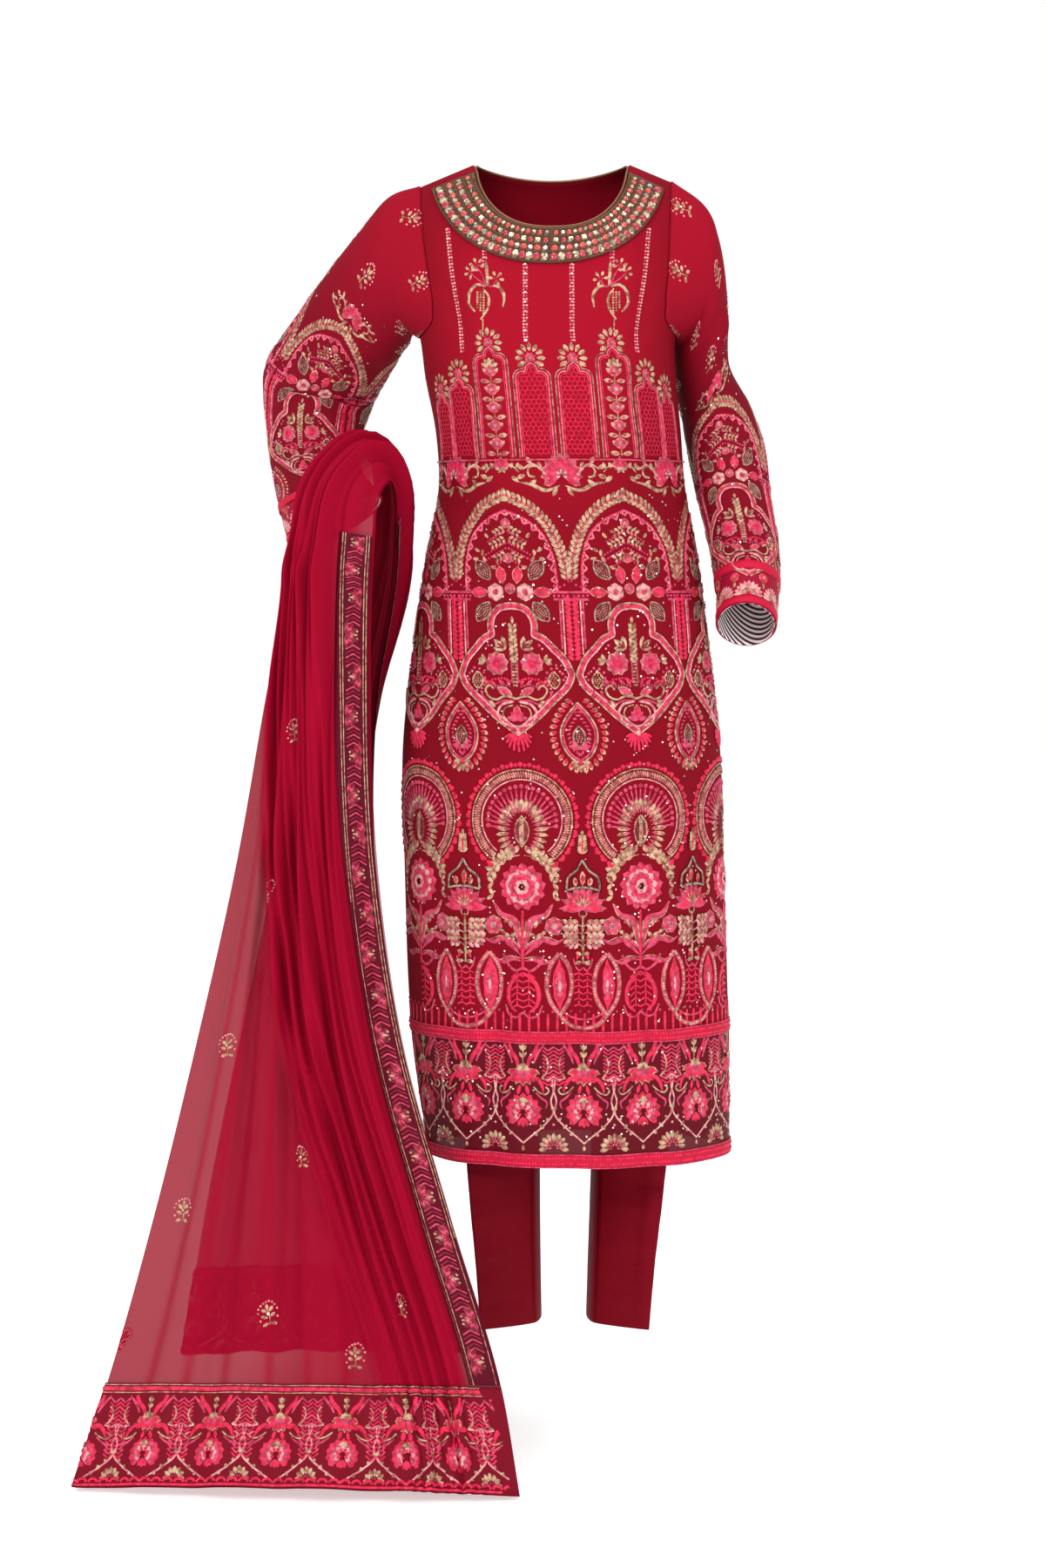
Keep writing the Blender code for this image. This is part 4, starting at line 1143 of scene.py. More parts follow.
def cartouche():
    """An ogee frame round a vase of flowers; its tip is at 0 and its foot 140 mm lower."""
    made = Drawing()
    lobe = curve((0, 0), (13, -2.5), (22, -11), (25, -22), (24, -32))
    half = curve((24, -32), (33, -36), (44, -47), (56, -60), (63.5, -76))
    low = curve((63.5, -76), (60, -85), (40, -106), (20, -125), (0, -140))
    side = Drawing()
    line = np.concatenate([lobe, half[1:], low[1:]])
    side.cord(ROSE, line, 4.4)
    side.knots_along(PINK, line, 4.0, 3.2)
    side.add(twin_cord(line, 6.4, 1.5, GOLD, BLUSH))
    side.leaves_at([(0, y - 4, 56) for y in np.arange(-22, -60, -5.4)], (GOLD, 8.0, 3.8, 0.5))
    side.cord(ROSE, [(3.2, -60), (3.2, -86)], 1.4)
    side.knots_along(GOLD, [(1.4, -60), (1.4, -90)], 3.6, 3.2)
    side.add(flower(ROSE, GOLD, PINK, 9, 13.5), 20, -64)
    side.knot(PINK, 20, -64, 6.5)
    for turn, long in ((76, 15), (38, 17), (4, 14)):
        side.leaf(GOLD, 9, -48, turn, long, 5.6, 0.4)
        side.leaf(RUBY, 10.5, -47, turn, long * 0.62, 2.4, 0.4)
    side.leaves_at(ring((-20, 20, 70), x=34, y=-62), (GOLD, 9, 4.2, 0.5))
    side.add(knot_leaf(GOLD, 19, 13), 44, -92, turn=4)
    berries = ((36, -74), (41, -70), (47, -69), (53, -75), (54, -82), (35, -80))
    for x, y in berries + ((36, -88), (39, -96), (49, -94), (29, -44)):
        side.knot(ROSE, x, y, 3.8)
        side.knot(BLUSH, x + 3.2, y - 3.6, 2.6)
    side.leaves_at(((6, -88, 62), (12, -88, 40), (22, -88, 30), (30, -88, 46)), (ROSE, 9.0, 3.6, 0.5))
    side.knots_along(PINK, [(3, -84), (14, -80), (27, -82), (33, -88)], 3.6, 3.4)
    side.knots_along(ROSE, [(5, -90), (14, -87), (25, -90)], 3.4, 3.0)
    side.add(satin_leaf(19, 8.5, ROSE), 4, -99, turn=-64)
    scroll = ((0, -103), (12, -100), (24, -104), (32, -100), (35, -92), (29, -88), (25, -93))
    side.cord(GOLD, curve(*scroll), 2.2)
    side.cord(ROSE, curve((2, -106), (14, -105), (26, -109), (37, -102), (41, -94)), 1.8)
    side.cord(BLUSH, curve((4, -106), (17, -110), (22, -119), (15, -130), (0, -134)), 2.4)
    side.cord(GOLD, curve((4, -110), (13, -113), (16, -120), (9, -129)), 1.5)
    for turn in (8, 44):
        side.leaf(GOLD, 24, -112, turn, 10, 4.0, 0.5)
        side.leaf(ROSE, 0, -127, turn + 10, 12, 5.0, 0.4)
    made.both(side)
    made.leaf(GOLD, 0, -20, 90, 8.5, 3.8, 0.3)
    made.add(satin_leaf(18, 9), 0, -127)
    return made


def tassel():
    """Long loops of thread that hang in a tuft."""
    made = Drawing()
    made.knot(BLUSH, 0, 0, 7)
    for turn in np.linspace(-165, -15, 9):
        reach = 15 + 3 * np.sin(np.radians(-turn))
        x, y = reach * np.cos(np.radians(turn)), reach * 1.15 * np.sin(np.radians(turn))
        made.cord(PINK, curve((1.0 * np.sign(x), -2), (x * 0.7, y * 0.45), (x, y)), 3.0, 0.35)
    return made


def drop():
    """A pointed medallion ringed with leaves; its middle is at 0."""
    made = Drawing()
    half = curve((0, 36), (12, 22), (20, 6), (19, -10), (11, -24), (0, -31))
    for side in (1, -1):
        line = half * (side, 1)
        made.cord(GOLD, line, 1.9)
        made.cord(ROSE, offset(line, -side * 2.8), 2.2)
        for (x, y), turn in along(offset(line, side * 4.0), 6.4):
            made.leaves_at([(x, y, turn + side * 66)], (GOLD, 9.4, 5.0, 0.6), (PINK, 6.8, 3.4, 0.6))
        for (x, y), turn in along(offset(line, -side * 6.6), 5.0):
            made.leaf(ROSE, x, y, turn - side * 120, 5.4, 2.4, 0.5)
    made.add(knot_leaf(SILVER, 24, 14), 0, -14)
    made.leaves_at(ring((20, 50, 130, 160), y=-16), (ROSE, 14, 5.0, 0.4))
    made.add(fan(GOLD, PINK, 7, 3.0, 180, 360, 8, 3.8), 0, -30)
    made.knot(PINK, 0, -30, 5)
    return made


def wheel():
    """A horseshoe of zari round a fan of pins and a flame-shaped leaf."""
    made = Drawing()
    start, end = -50, 230
    made.cord(GOLD, arc(0, 0, 56, start, end), 1.5)
    made.cord(RUBY, arc(0, 0, 50.5, start, end), 5.4)
    made.cord(ROSE, arc(0, 0, 50.5, start, end), 2.6)
    made.cord(BLUSH, arc(0, 0, 45, start, end), 1.4)
    made.leaves_at(ring(np.linspace(start, end, 92), 47, lean=10), (GOLD, 7.6, 1.9, 0.2))
    made.knots_along(PINK, arc(0, 0, 61, start - 8, end + 8), 5.2, 4.8)
    made.knots_along(PINK, arc(0, 0, 62, start - 8, end + 8), 10.4, 6.2)
    for turn in np.linspace(-8, 188, 21):
        angle = np.radians(turn)
        cos, sin = np.cos(angle), np.sin(angle)
        made.cord(ROSE, [(20 * cos, 20 * sin - 6), (36 * cos, 36 * sin - 2)], 2.1, 0.3)
        made.knot(ROSE, 38.5 * cos, 38.5 * sin - 1, 5.6)
    for turn in np.linspace(-56, 236, 25):
        angle = np.radians(turn)
        place = (13 * np.cos(angle), 20 * np.sin(angle) - 12, turn)
        made.leaves_at([place], (GOLD, 17, 4.6, 0.7), (ROSE, 9, 2.0, 0.5))
    made.add(satin_leaf(37, 18, RUBY), 0, -31)
    veins = [(0, y, turn) for y in np.arange(-27, 0, 3.2) for turn in (60, 120)]
    made.leaves_at(veins, (GOLD, 5.2, 1.8, 0.2))
    return made


def rose():
    """A full rose of overlapping petals."""
    made = Drawing()
    outer, inner = ((27.0, 13), (23.76, 12), (19.98, 11)), ((16.2, 9), (12.15, 8), (8.1, 6))
    for number, (reach, count) in enumerate(outer + inner):
        turns = np.arange(count) * 360 / count + number * 17
        thread = (ROSE, PINK, BLUSH)[number % 3]
        made.leaves_at(ring(turns, reach * 0.42, lean=14), (thread, reach * 0.58, 9.72, 1.0))
    made.knot(GOLD, 0, 0, 3.4)
    return made


def rose_bush():
    """A rose on its stem with sword leaves and two small roses; the rose's middle is at 0."""
    made = Drawing()
    made.add(rose())
    wreath = Drawing()
    spray = fan(GOLD, ROSE, 4, 1.0, -50, 100, 10.5, 5.2)
    for turn in (28, 44, 60, 76):
        angle = np.radians(turn)
        wreath.add(spray, 36 * np.cos(angle), 37 * np.sin(angle), turn=turn - 60)
    wreath.cord(GOLD, arc(0, 0, 35, 12, 86), 1.1)
    wreath.leaves_at(((34, -10, 58), (34, -10, -32), (34, 4, 44), (34, 4, -46)), (GOLD, 9, 4.4, 0.6))
    wreath.cord(ROSE, curve((2, -66), (6, -50), (9, -38), (26, -30), (33, -19)), 6.4, 0.7)
    wreath.cord(GOLD, curve((4, -66), (9, -50), (12, -41), (28, -32), (34, -18)), 1.2)
    wreath.cord(GOLD, curve((1, -60), (3, -48), (4, -38)), 2.6, 0.6)
    wreath.cord(ROSE, curve((2, -70), (10, -62), (24, -58), (36, -62), (46, -57)), 5.4, 0.75)
    wreath.cord(GOLD, curve((2, -67), (12, -59), (26, -55), (40, -60)), 1.1)
    wreath.cord(ROSE, curve((2, -76), (10, -68), (20, -60), (22, -50)), 4.6, 0.75)
    wreath.cord(ROSE, curve((2, -82), (12, -80), (24, -84), (34, -80)), 4.6, 0.75)
    wreath.cord(GOLD, curve((2, -79), (14, -77), (28, -82)), 1.1)
    wreath.add(flower(ROSE, GOLD, BLUSH, 7, 11.0), 35, -43)
    leaves = ((22, -40, 150), (24, -52, 200), (15, -58, 130), (47, -50, -40), (46, -66, 30), (13, -46, 70))
    wreath.leaves_at(leaves, (GOLD, 9.5, 4.4, 0.5), (ROSE, 5.5, 2.0, 0.5))
    wreath.leaf(GOLD, 27, -48, 215, 7, 3.6, 0.4)
    made.both(wreath)
    made.cord(PINK, [(0, -26), (0, -92)], 3.4, 0.3)
    return made


def lotus():
    """A lotus under a small gable, with a bunch below; its middle is at 0."""
    made = Drawing()
    rounds = ((28, 9, GOLD, 8.4), (26.4, 9, ROSE, 7.2), (20, 8, PINK, 6.6), (13, 5, ROSE, 4.6))
    for long, count, thread, wide in rounds:
        made.leaves_at(ring(np.linspace(4, 176, count), y=-6), (thread, long, wide, 0.25))
    made.leaves_at(ring(np.linspace(30, 150, 6), y=-3), (GOLD, 14, 1.7, 0.2))
    gable = Drawing()
    gable.cord(SILVER, curve((0, 49), (7, 38), (17, 30), (19, 17)), 2.0)
    gable.cord(SILVER, curve((0, 19), (10, 18), (19, 16)), 2.0)
    gable.leaf(GOLD, 8, 20, 80, 10, 5.0, 0.5)
    gable.leaf(PINK, 8, 22, 80, 6.4, 2.6, 0.5)
    made.both(gable)
    made.leaf(GOLD, 0, 20, 90, 17, 6.6, 0.5)
    made.leaf(PINK, 0, 22, 90, 12, 3.4, 0.5)
    flame = Drawing()
    for y in np.arange(56, 76, 3.4):
        flame.leaves_at(((0, y, 40), (0, y, 140)), (GOLD, 8.0 - (y - 56) * 0.12, 3.2, 0.5))
    flame.leaf(PINK, 0, 56, 90, 18, 4.0, 0.3)
    flame.leaf(GOLD, 0, 74, 90, 8, 3.4, 0.3)
    made.add(flame)
    made.cord(GOLD, arc(0, -10, 4.4, 0, 360), 1.4)
    made.cord(GOLD, [(0, -12), (0, -66)], 3.0, 0.4)
    bunch = Drawing()
    for y, reach in ((-22, 17), (-30, 22), (-38, 20), (-44, 14)):
        bunch.cord(GOLD, curve((0, y - 3), (reach * 0.5, y + 1), (reach, y)), 1.0)
        for x in np.arange(5, reach + 1, 6.0):
            bunch.leaves_at([(x, y, 40)], (GOLD, 8.6, 4.4, 0.6), (ROSE, 5.0, 2.0, 0.6))
            bunch.leaf(BLUSH, x, y, -40, 7.6, 3.8, 0.6)
    for y, turn, long in ((-56, 20, 8), (-64, -10, 9)):
        bunch.leaf(GOLD, 1, y, turn, long, 4, 0.6)
    bunch.leaf(PINK, 4, -52, -70, 10, 3.4, 0.4)
    made.both(bunch)
    return made


def mandorlas():
    """Two pointed ovals joined by a looped rope; the chain's middle is at 0."""
    made = Drawing()
    half = Drawing()
    right = curve((27, 36), (37, 22), (41, 4), (38, -16), (27, -33))
    left = curve((27, 36), (17, 22), (13, 4), (16, -16), (27, -33))
    for line in (right, left):
        half.cord(ROSE, line, 4.6)
        half.knots_along(GOLD, line, 3.2, 3.4)
    half.leaf(PINK, 27, -28, 90, 58, 19.0, 0.2)
    half.leaf(ROSE, 27, -16, 90, 32, 9.0, 0.2)
    half.leaf(BLUSH, 27, -8, 90, 16, 3.0, 0.0)
    half.cord(ROSE, curve((11, 30), (8, 20), (4, 16), (0, 20)), 1.7)
    half.cord(ROSE, curve((44, 34), (50, 22), (60, 16), (67.5, 20)), 2.6)
    half.cord(PINK, curve((67.5, 14), (56, 6), (50, -8), (52, -22), (60, -30)), 4.6, 0.5)
    half.cord(ROSE, curve((46, -22), (52, -34), (60, -36), (67.5, -30)), 2.2)
    for y in (-24, -17, -10, -3, 4, 11):
        half.cord(PINK, curve((0, y), (5, y + 2.6), (10.4, y + 0.6)), 1.8)
        half.cord(PINK, curve((5, y + 2), (5, y + 7)), 1.5)
        half.cord(PINK, curve((54, y - 3), (61, y + 1.6), (67.5, y - 1)), 1.8)
        half.cord(PINK, curve((61, y + 2), (61, y + 7)), 1.5)
    made.both(half)
    rope = curve((-27, -33), (-17, -43), (0, -48), (17, -43), (27, -33))
    made.cord(ROSE, rope, 4.6)
    made.knots_along(GOLD, rope, 3.2, 3.4)
    made.cord(ROSE, curve((-22, -30), (-12, -36), (0, -38), (12, -36), (22, -30)), 2.0)
    return made


def hem_cartouche():
    """One unit of the border: a domed flower over a full flower in a curled frame. Its top is at 0."""
    made = Drawing()
    stem_leaves = ((0, -10, 60), (0, -10, 120), (0, -18, 60), (0, -18, 120), (0, -9, 90))
    made.leaves_at(stem_leaves, (GOLD, 8, 3.2, 0.4))
    made.cord(GOLD, [(0, -4), (0, -28)], 1.2)
    dome_petals = ring(np.linspace(195, 345, 7), y=-30)
    made.leaves_at(dome_petals, (GOLD, 20, 7.0, 1.0), (PINK, 18, 5.4, 1.0), (ROSE, 11, 3.6, 0.9))
    made.add(fan(GOLD, GOLD, 6, 2.0, 10, 170, 6.0, 3.4, 0.9), 0, -31)
    side = Drawing()
    side.cord(PINK, curve((17, 0), (14, -10), (8, -18), (5, -27)), 4.6, 0.3)
    side.cord(ROSE, curve((24, -1), (20, -7), (15, -16), (12, -24)), 3.0, 0.5)
    side.cord(GOLD, curve((25, -15), (28, -24), (26, -34), (21, -40)), 1.8)
    upper = ((21, -40), (28, -42), (34, -38), (34.6, -52))
    side.cord(BLUSH, curve(*upper, (31, -66), (33.5, -78), (22, -94), (8, -106), (0, -113)), 1.7)
    side.cord(PINK, curve((6, -42), (14, -40), (20, -46), (23, -56)), 4.2, 0.6)
    side.cord(GOLD, curve((12, -50), (18, -56), (26, -58), (29, -53), (25, -50)), 1.7)
    side.cord(ROSE, curve((14, -56), (20, -62), (27, -68), (25, -74)), 2.2, 0.5)
    side.leaf(PINK, 3, -47, -75, 13, 4.4, 0.6)
    side.cord(PINK, curve((5, -41), (13, -44), (14, -41)), 2.0)
    side.leaves_at(((25.5, -84, -48), (19, -92, -48), (12, -100, -48), (31, -72, -48)), (GOLD, 6.2, 3.6, 0.7))
    made.both(side)
    for reach, count, thread in ((20, 11, PINK), (16, 9, ROSE), (11, 7, BLUSH), (8, 6, PINK)):
        petals = ring(np.linspace(-40, 220, count), reach * 0.3, y=-78)
        made.leaves_at(petals, (thread, reach * 0.78, reach * 0.4, 0.9))
    made.leaves_at(ring((-60, -90, -120), y=-84), (PINK, 12, 5, 0.6))
    made.add(fan(GOLD, GOLD, 5, 1.0, 20, 160, 5, 2.6, 0.8), 0, -67)
    made.leaf(GOLD, 0, -115, -90, 6.5, 3.6, 0.7)
    return made


CHEVRON_PITCH = 4.3


def chevrons(rows, half):
    """Zigzag rows, one under the other, from 0 down."""
    made = Drawing()
    for row in range(rows):
        y = -2 - row * CHEVRON_PITCH
        line = [(-half, y), (-half / 2, y - 4.6), (0, y), (half / 2, y - 4.6), (half, y)]
        made.cord(PINK if row % 2 else ROSE, line, 1.8)
    return made


HEM_PITCH = 68.0
HEM_TALL = 118.0


def hem_border():
    """The whole border, its axis at 0 and its top at 0."""
    made = Drawing()
    pitch, count = HEM_PITCH, 4
    unit, gap_fill = hem_cartouche(), chevrons(10, 12.0)
    foot = fan(GOLD, GOLD, 9, 7.0, -8, 188, 10.0, 4.8, 0.7)
    foot.add(fan(ROSE, PINK, 7, 5.0, 0, 180, 5.0, 3.0, 0.7))
    for number in range(-count, count + 1):
        made.add(unit, number * pitch, 0)
        made.add(gap_fill, (number + 0.5) * pitch, -3)
        made.add(foot, (number + 0.5) * pitch, -118)
        made.knot(BLUSH, (number + 0.5) * pitch, -92, 3.2)
    return made


def sequin_line(path):
    """Rings of thread sewn down in pairs along a line, with a sequin now and then."""
    made = Drawing()
    for number, ((x, y), turn) in enumerate(along(path, 3.7)):
        side_x, side_y = -1.6 * np.sin(np.radians(turn)), 1.6 * np.cos(np.radians(turn))
        made.knot(BLUSH, x + side_x, y + side_y, 3.0)
        made.knot(BLUSH if number % 2 else ROSE, x - side_x, y - side_y, 3.0)
        if number % 3 == 0:
            made.knot(SEQUIN, x, y, 2.2)
    return made


def hanging_spray():
    """Two drooping horns with bead fringes and two small blossoms; it hangs from 0."""
    made = Drawing()
    made.cord(GOLD, [(0, 0), (-1, -22)], 2.8, 0.2)
    made.cord(GOLD, curve((0, -22), (9, -20), (16, -27), (17, -38), (11, -45)), 3.0, 0.5)
    made.cord(GOLD, curve((-2, -22), (-10, -22), (-16, -30), (-15, -42)), 2.8, 0.6)
    made.cord(GOLD, curve((3, -24), (-2, -32), (0, -44), (6, -52)), 2.4, 0.4)
    for step, x in enumerate((2.5, 5.5, 8.5)):
        made.knots_along(GOLD, [(x, -26), (x + 0.5, -48 + 3 * step)], 2.4, 2.2)
    for x, y, turn in ((9, -2, 70), (14, -8, 40), (-9, -15, 130)):
        made.cord(ROSE, curve((1, -20), (x * 0.5, y - 8), (x, y - 2)), 1.1)
        made.add(fan(GOLD, ROSE, 5, 2.6, -30, 210, 5.0, 2.8, 0.7), x, y, turn=turn - 90)
    made.cord(GOLD, [(4, -52), (4, -62)], 1.1)
    return made


END_PITCH = 74.0
END_LEFT, END_RIGHT = -790, 270


def end_border(tall):
    """The border of the veil's end, its axis and its foot at 0: the units of the hem under a taped edge."""
    pitch = END_PITCH
    unit = hem_cartouche().stretched(pitch / HEM_PITCH, (tall - 14) / HEM_TALL)
    gap = chevrons(int((tall - 40) / CHEVRON_PITCH), 11.0)
    made = Drawing()
    for number in range(-11, 5):
        made.add(unit, number * pitch, tall - 13)
        made.add(gap, (number + 0.5) * pitch, tall - 14)
        made.add(fan(GOLD, ROSE, 7, 4.0, 0, 180, 8.0, 4.2, 0.7), (number + 0.5) * pitch, 8)
        for step in range(6):
            x = (number + (step + 0.5) / 6) * pitch
            made.cord(PINK, arc(x, 2.5, 5.6, 20, 160), 2.4)
    lines = ((tall - 2, GOLD, 1.0), (tall - 6, PINK, 4.0), (tall - 10, GOLD, 1.0), (2, PINK, 2.2))
    for y, thread, wide in lines:
        made.cord(thread, [(END_LEFT, y), (END_RIGHT, y)], wide)
    made.knots_along(ROSE, [(END_LEFT, tall - 6), (END_RIGHT, tall - 6)], 4.2, 3.2)
    return made


def edge_border(tall):
    """The border along the veil's edge, its middle at 0: chevrons and half rosettes between gold cords."""
    made = Drawing()
    for x in (-15.4, -12.4, 12.6, 15.6):
        made.cord(GOLD, [(x, 0), (x, tall)], 0.9)
    for number, y in enumerate(np.arange(24, tall, 44.0)):
        side = 1 if number % 2 else -1
        for reach, petals, thread in ((16, 7, RUBY), (11, 6, ROSE), (7, 5, RUBY)):
            turns = np.linspace(8, 172, petals) + side * 90
            made.leaves_at(ring(turns, x=side * 9, y=y), (thread, reach, reach * 0.34, 0.5))
        made.leaf(GOLD, side * 9, y, 90 + side * 90, 15, 3.0, 0.4)
        for step in range(5):
            low = y + 10 + step * 4.6
            made.cord(RUBY if step % 2 else ROSE, [(-9, low), (0, low + 5), (9, low)], 1.6)
        made.knots_at(GOLD, 3.4, ((-side * 5, y - 4), (-side * 5, y + 4)))
    return made


def sparkle(count, low_x, high_x, low_y, high_y, seed):
    """Single sequins scattered over the embroidery."""
    random = np.random.default_rng(seed)
    made = Drawing()
    places = zip(random.uniform(low_x, high_x, count), random.uniform(low_y, high_y, count))
    for (x, y), size in zip(places, random.uniform(1.5, 2.4, count)):
        made.knot(SEQUIN, x, y, size)
    return made


def braid(low, high, half):
    """Chain stitch in two rows between cords, over a tape from low to high."""
    made = Drawing()
    middle, quarter = (low + high) / 2, (high - low) / 4
    for y in (middle - quarter * 0.8, middle + quarter * 0.8):
        made.knots_along(PINK, [(-half, y), (half, y)], 3.6, 3.4)
    for y in (low + 0.8, high - 0.8):
        made.cord(ROSE, [(-half, y), (half, y)], 1.1)
    return made


# ---------------------------------------------------------------- listed creases

# Each trough (depth below 0) or ridge in mm: where it starts, where it ends, its depth and its width.
# On the tunic the places are x and height; on a sleeve, round it and up it from the cuff.
FRONT_CREASES = in_metres(
    (-118, -150, -86, -236, -3.5, 10),
    (-104, -205, -70, -262, 2.6, 9),
    (112, -150, 88, -232, -3.2, 10),
    (100, -214, 70, -268, 2.4, 9),
    (-112, -330, -60, -352, -3, 8),
    (-116, -360, -48, -372, 2.2, 8),
    (-118, -388, -72, -420, -2.6, 10),
    (134, -340, 84, -358, -2.8, 8),
    (138, -368, 92, -394, 2.2, 9),
    (140, -402, 104, -440, -2.4, 10),
    (-30, -402, 30, -410, -1.6, 7),
    (-140, -520, -120, -760, -3.6, 12),
    (-118, -620, -104, -960, 3, 11),
    (-146, -800, -136, -1090, 3.4, 12),
    (-60, -720, -66, -1120, -3.6, 13),
    (-30, -860, -46, -1120, 2.6, 11),
    (30, -700, 26, -1060, -3.4, 13),
    (52, -880, 48, -1124, 2.4, 10),
    (98, -640, 106, -980, -3.6, 12),
    (120, -800, 128, -1126, 3, 12),
    (160, -560, 166, -840, -3.2, 11),
    (150, -900, 160, -1120, -3, 11),
)
BACK_CREASES = in_metres(
    (-110, -90, -60, -150, -3, 11),
    (-92, -140, -40, -186, 2.4, 10),
    (104, -84, 58, -146, -3, 11),
    (88, -136, 44, -180, 2.2, 10),
    (-104, -320, -40, -338, -3.4, 9),
    (-110, -350, -20, -360, 2.6, 8),
    (-100, -384, -50, -398, -2.8, 9),
    (120, -330, 50, -346, -3.4, 9),
    (126, -362, 40, -370, 2.4, 8),
    (110, -396, 70, -412, -2.6, 9),
    (-120, -560, -128, -900, -4, 13),
    (-96, -700, -110, -1100, 3.4, 12),
    (-30, -620, -36, -1050, -4, 14),
    (50, -560, 58, -900, -3.8, 13),
    (70, -820, 74, -1124, 3.2, 12),
    (132, -700, 142, -1080, -3.6, 12),
)
SLEEVE_RIGHT_CREASES = in_metres(
    (78, 300, 140, 330, -4, 10),
    (70, 328, 150, 348, 3, 8),
    (60, 350, 134, 384, -3.6, 10),
    (104, 250, 144, 286, -3.4, 9),
    (96, 216, 150, 238, 2.8, 8),
    (112, 180, 154, 206, -3, 9),
    (40, 420, 90, 500, -3, 12),
    (280, 300, 220, 320, -3.8, 10),
    (290, 330, 230, 352, 3, 9),
    (270, 372, 210, 392, -3.4, 10),
)
SLEEVE_LEFT_CREASES = in_metres(
    (300, 300, 232, 322, -3.6, 10),
    (304, 326, 240, 342, 2.8, 8),
    (290, 352, 222, 380, -3.4, 10),
    (248, 262, 200, 286, -3, 9),
    (252, 236, 208, 252, 2.4, 8),
    (280, 420, 240, 480, -2.8, 12),
    (110, 290, 50, 316, -3.6, 10),
    (120, 322, 60, 340, 2.8, 9),
    (104, 356, 40, 380, -3.4, 10),
)
# On a trouser panel, from its centre seam out and by height.
TROUSER_CREASES = in_metres(
    (10, -1120, 110, -1136, -3, 8),
    (20, -1158, 104, -1150, 2.6, 8),
    (60, -1176, 164, -1168, -2.8, 8),
    (26, -1196, 120, -1208, 2.6, 8),
    (80, -1226, 172, -1214, -3, 9),
    (12, -1238, 92, -1248, 2.4, 8),
    (50, -1264, 142, -1256, -3, 8),
    (92, -1282, 164, -1290, 2.2, 8),
    (96, -1080, 102, -1326, 3.4, 12),
    (-20, -1299, 210, -1299, -1.4, 5),
)
TROUSER_PANEL = 0.19
CREASE_FADE = 0.14
CREASE_ENDS = 0.12


def creases(table, a, b, period=None):
    """How far the listed creases move the cloth at a, b."""
    total = np.zeros_like(a)
    turns = (0.0,) if period is None else (-period, 0.0, period)
    for a0, b0, a1, b1, depth, width in table:
        da, db = a1 - a0, b1 - b0
        for turn in turns:
            share = np.clip(((a + turn - a0) * da + (b - b0) * db) / (da * da + db * db), 0, 1)
            gap = np.hypot(a + turn - a0 - share * da, b - b0 - share * db)
            strength = np.sin(np.pi * (CREASE_ENDS + (1 - 2 * CREASE_ENDS) * share))
            total += depth * strength * np.exp(-((gap / width) ** 2))
    return total


def trouser_cloth(side, face):
    """One worn trouser panel with its creases."""
    mirror = (side == "right") == (face < 0)
    shift = 0.0 if side == "right" else 0.024

    def place(u, v):
        across = 1 - u if mirror else u
        points = trousers(across, v, side, face)
        pushed = creases(TROUSER_CREASES, across * TROUSER_PANEL + shift, points[..., 2] - shift / 2)
        pushed = pushed * window(across, 0.0, CREASE_FADE) * window(1 - across, 0.0, CREASE_FADE)
        return points + pushed[..., None] * (0, face, 0)

    return place


def side_edges(z):
    """The armhole or side seam left and right at a height."""
    edges = []
    for side in ("left", "right"):
        armhole = column(ARMHOLE_COLUMNS, ARMHOLE, side, z)
        edges.append(np.where(z > UNDERARM, armhole, body(side, z)))
    return edges


def cloth_at(x, z, face):
    """The worn tunic at x, z, with its folds and creases; the face is -1 at the front and 1 at the back."""
    left, right = side_edges(z)
    share = np.abs(2 * x - left - right) / (right - left)
    folds, table = (FRONT_FOLDS, FRONT_CREASES) if face < 0 else (BACK_FOLDS, BACK_CREASES)
    pushed = creases(table, x, z) * window(1 - share, 0.0, CREASE_FADE)
    return np.stack([x, body_y(x, z, face, folds) + face * pushed, z], axis=-1)


def kameez(u, v, face, low, high):
    """A point of the front (face -1) or back (1) between two row levels."""
    x, z = panel_xz((2 * u - 1) * -face, low + (high - low) * v, face)
    return cloth_at(x, z, face)


def tunic_cloth(face, low, high):
    """The front or back between two row levels as a surface."""
    return lambda u, v: kameez(u, v, face, low, high)


def level_cloth(face, low, high):
    """The tunic as a surface whose rows are level, from one side edge to the other."""

    def place(p, q):
        z = low + (high - low) * q
        left, right = side_edges(z)
        across = p if face < 0 else 1 - p
        return cloth_at(left + (right - left) * across, z, face)

    return place


# Centre line of the front: height and x
CENTRE_LINE = (
    (-1.130, 0.0358),
    (-0.700, 0.0329),
    (-0.600, 0.0270),
    (-0.500, 0.0212),
    (-0.360, 0.0106),
    (-0.200, -0.0040),
    (-0.060, -0.0040),
)


def tunic_chart(face, low, high, lift=WALL):
    line = np.array(CENTRE_LINE)

    def axis(z):
        left, right = (float(edge) for edge in side_edges(np.array(z)))
        share = (np.interp(z, line[:, 0], line[:, 1]) - left) / (right - left)
        return share if face < 0 else 1 - share

    return chart(level_cloth(face, low, high), heights_of(low, high), -0.31, 0.31, axis, lift)


SLEEVE_WIDE = 0.34
SLEEVE_SHIFT = {"left": 0.75, "right": 0.25}


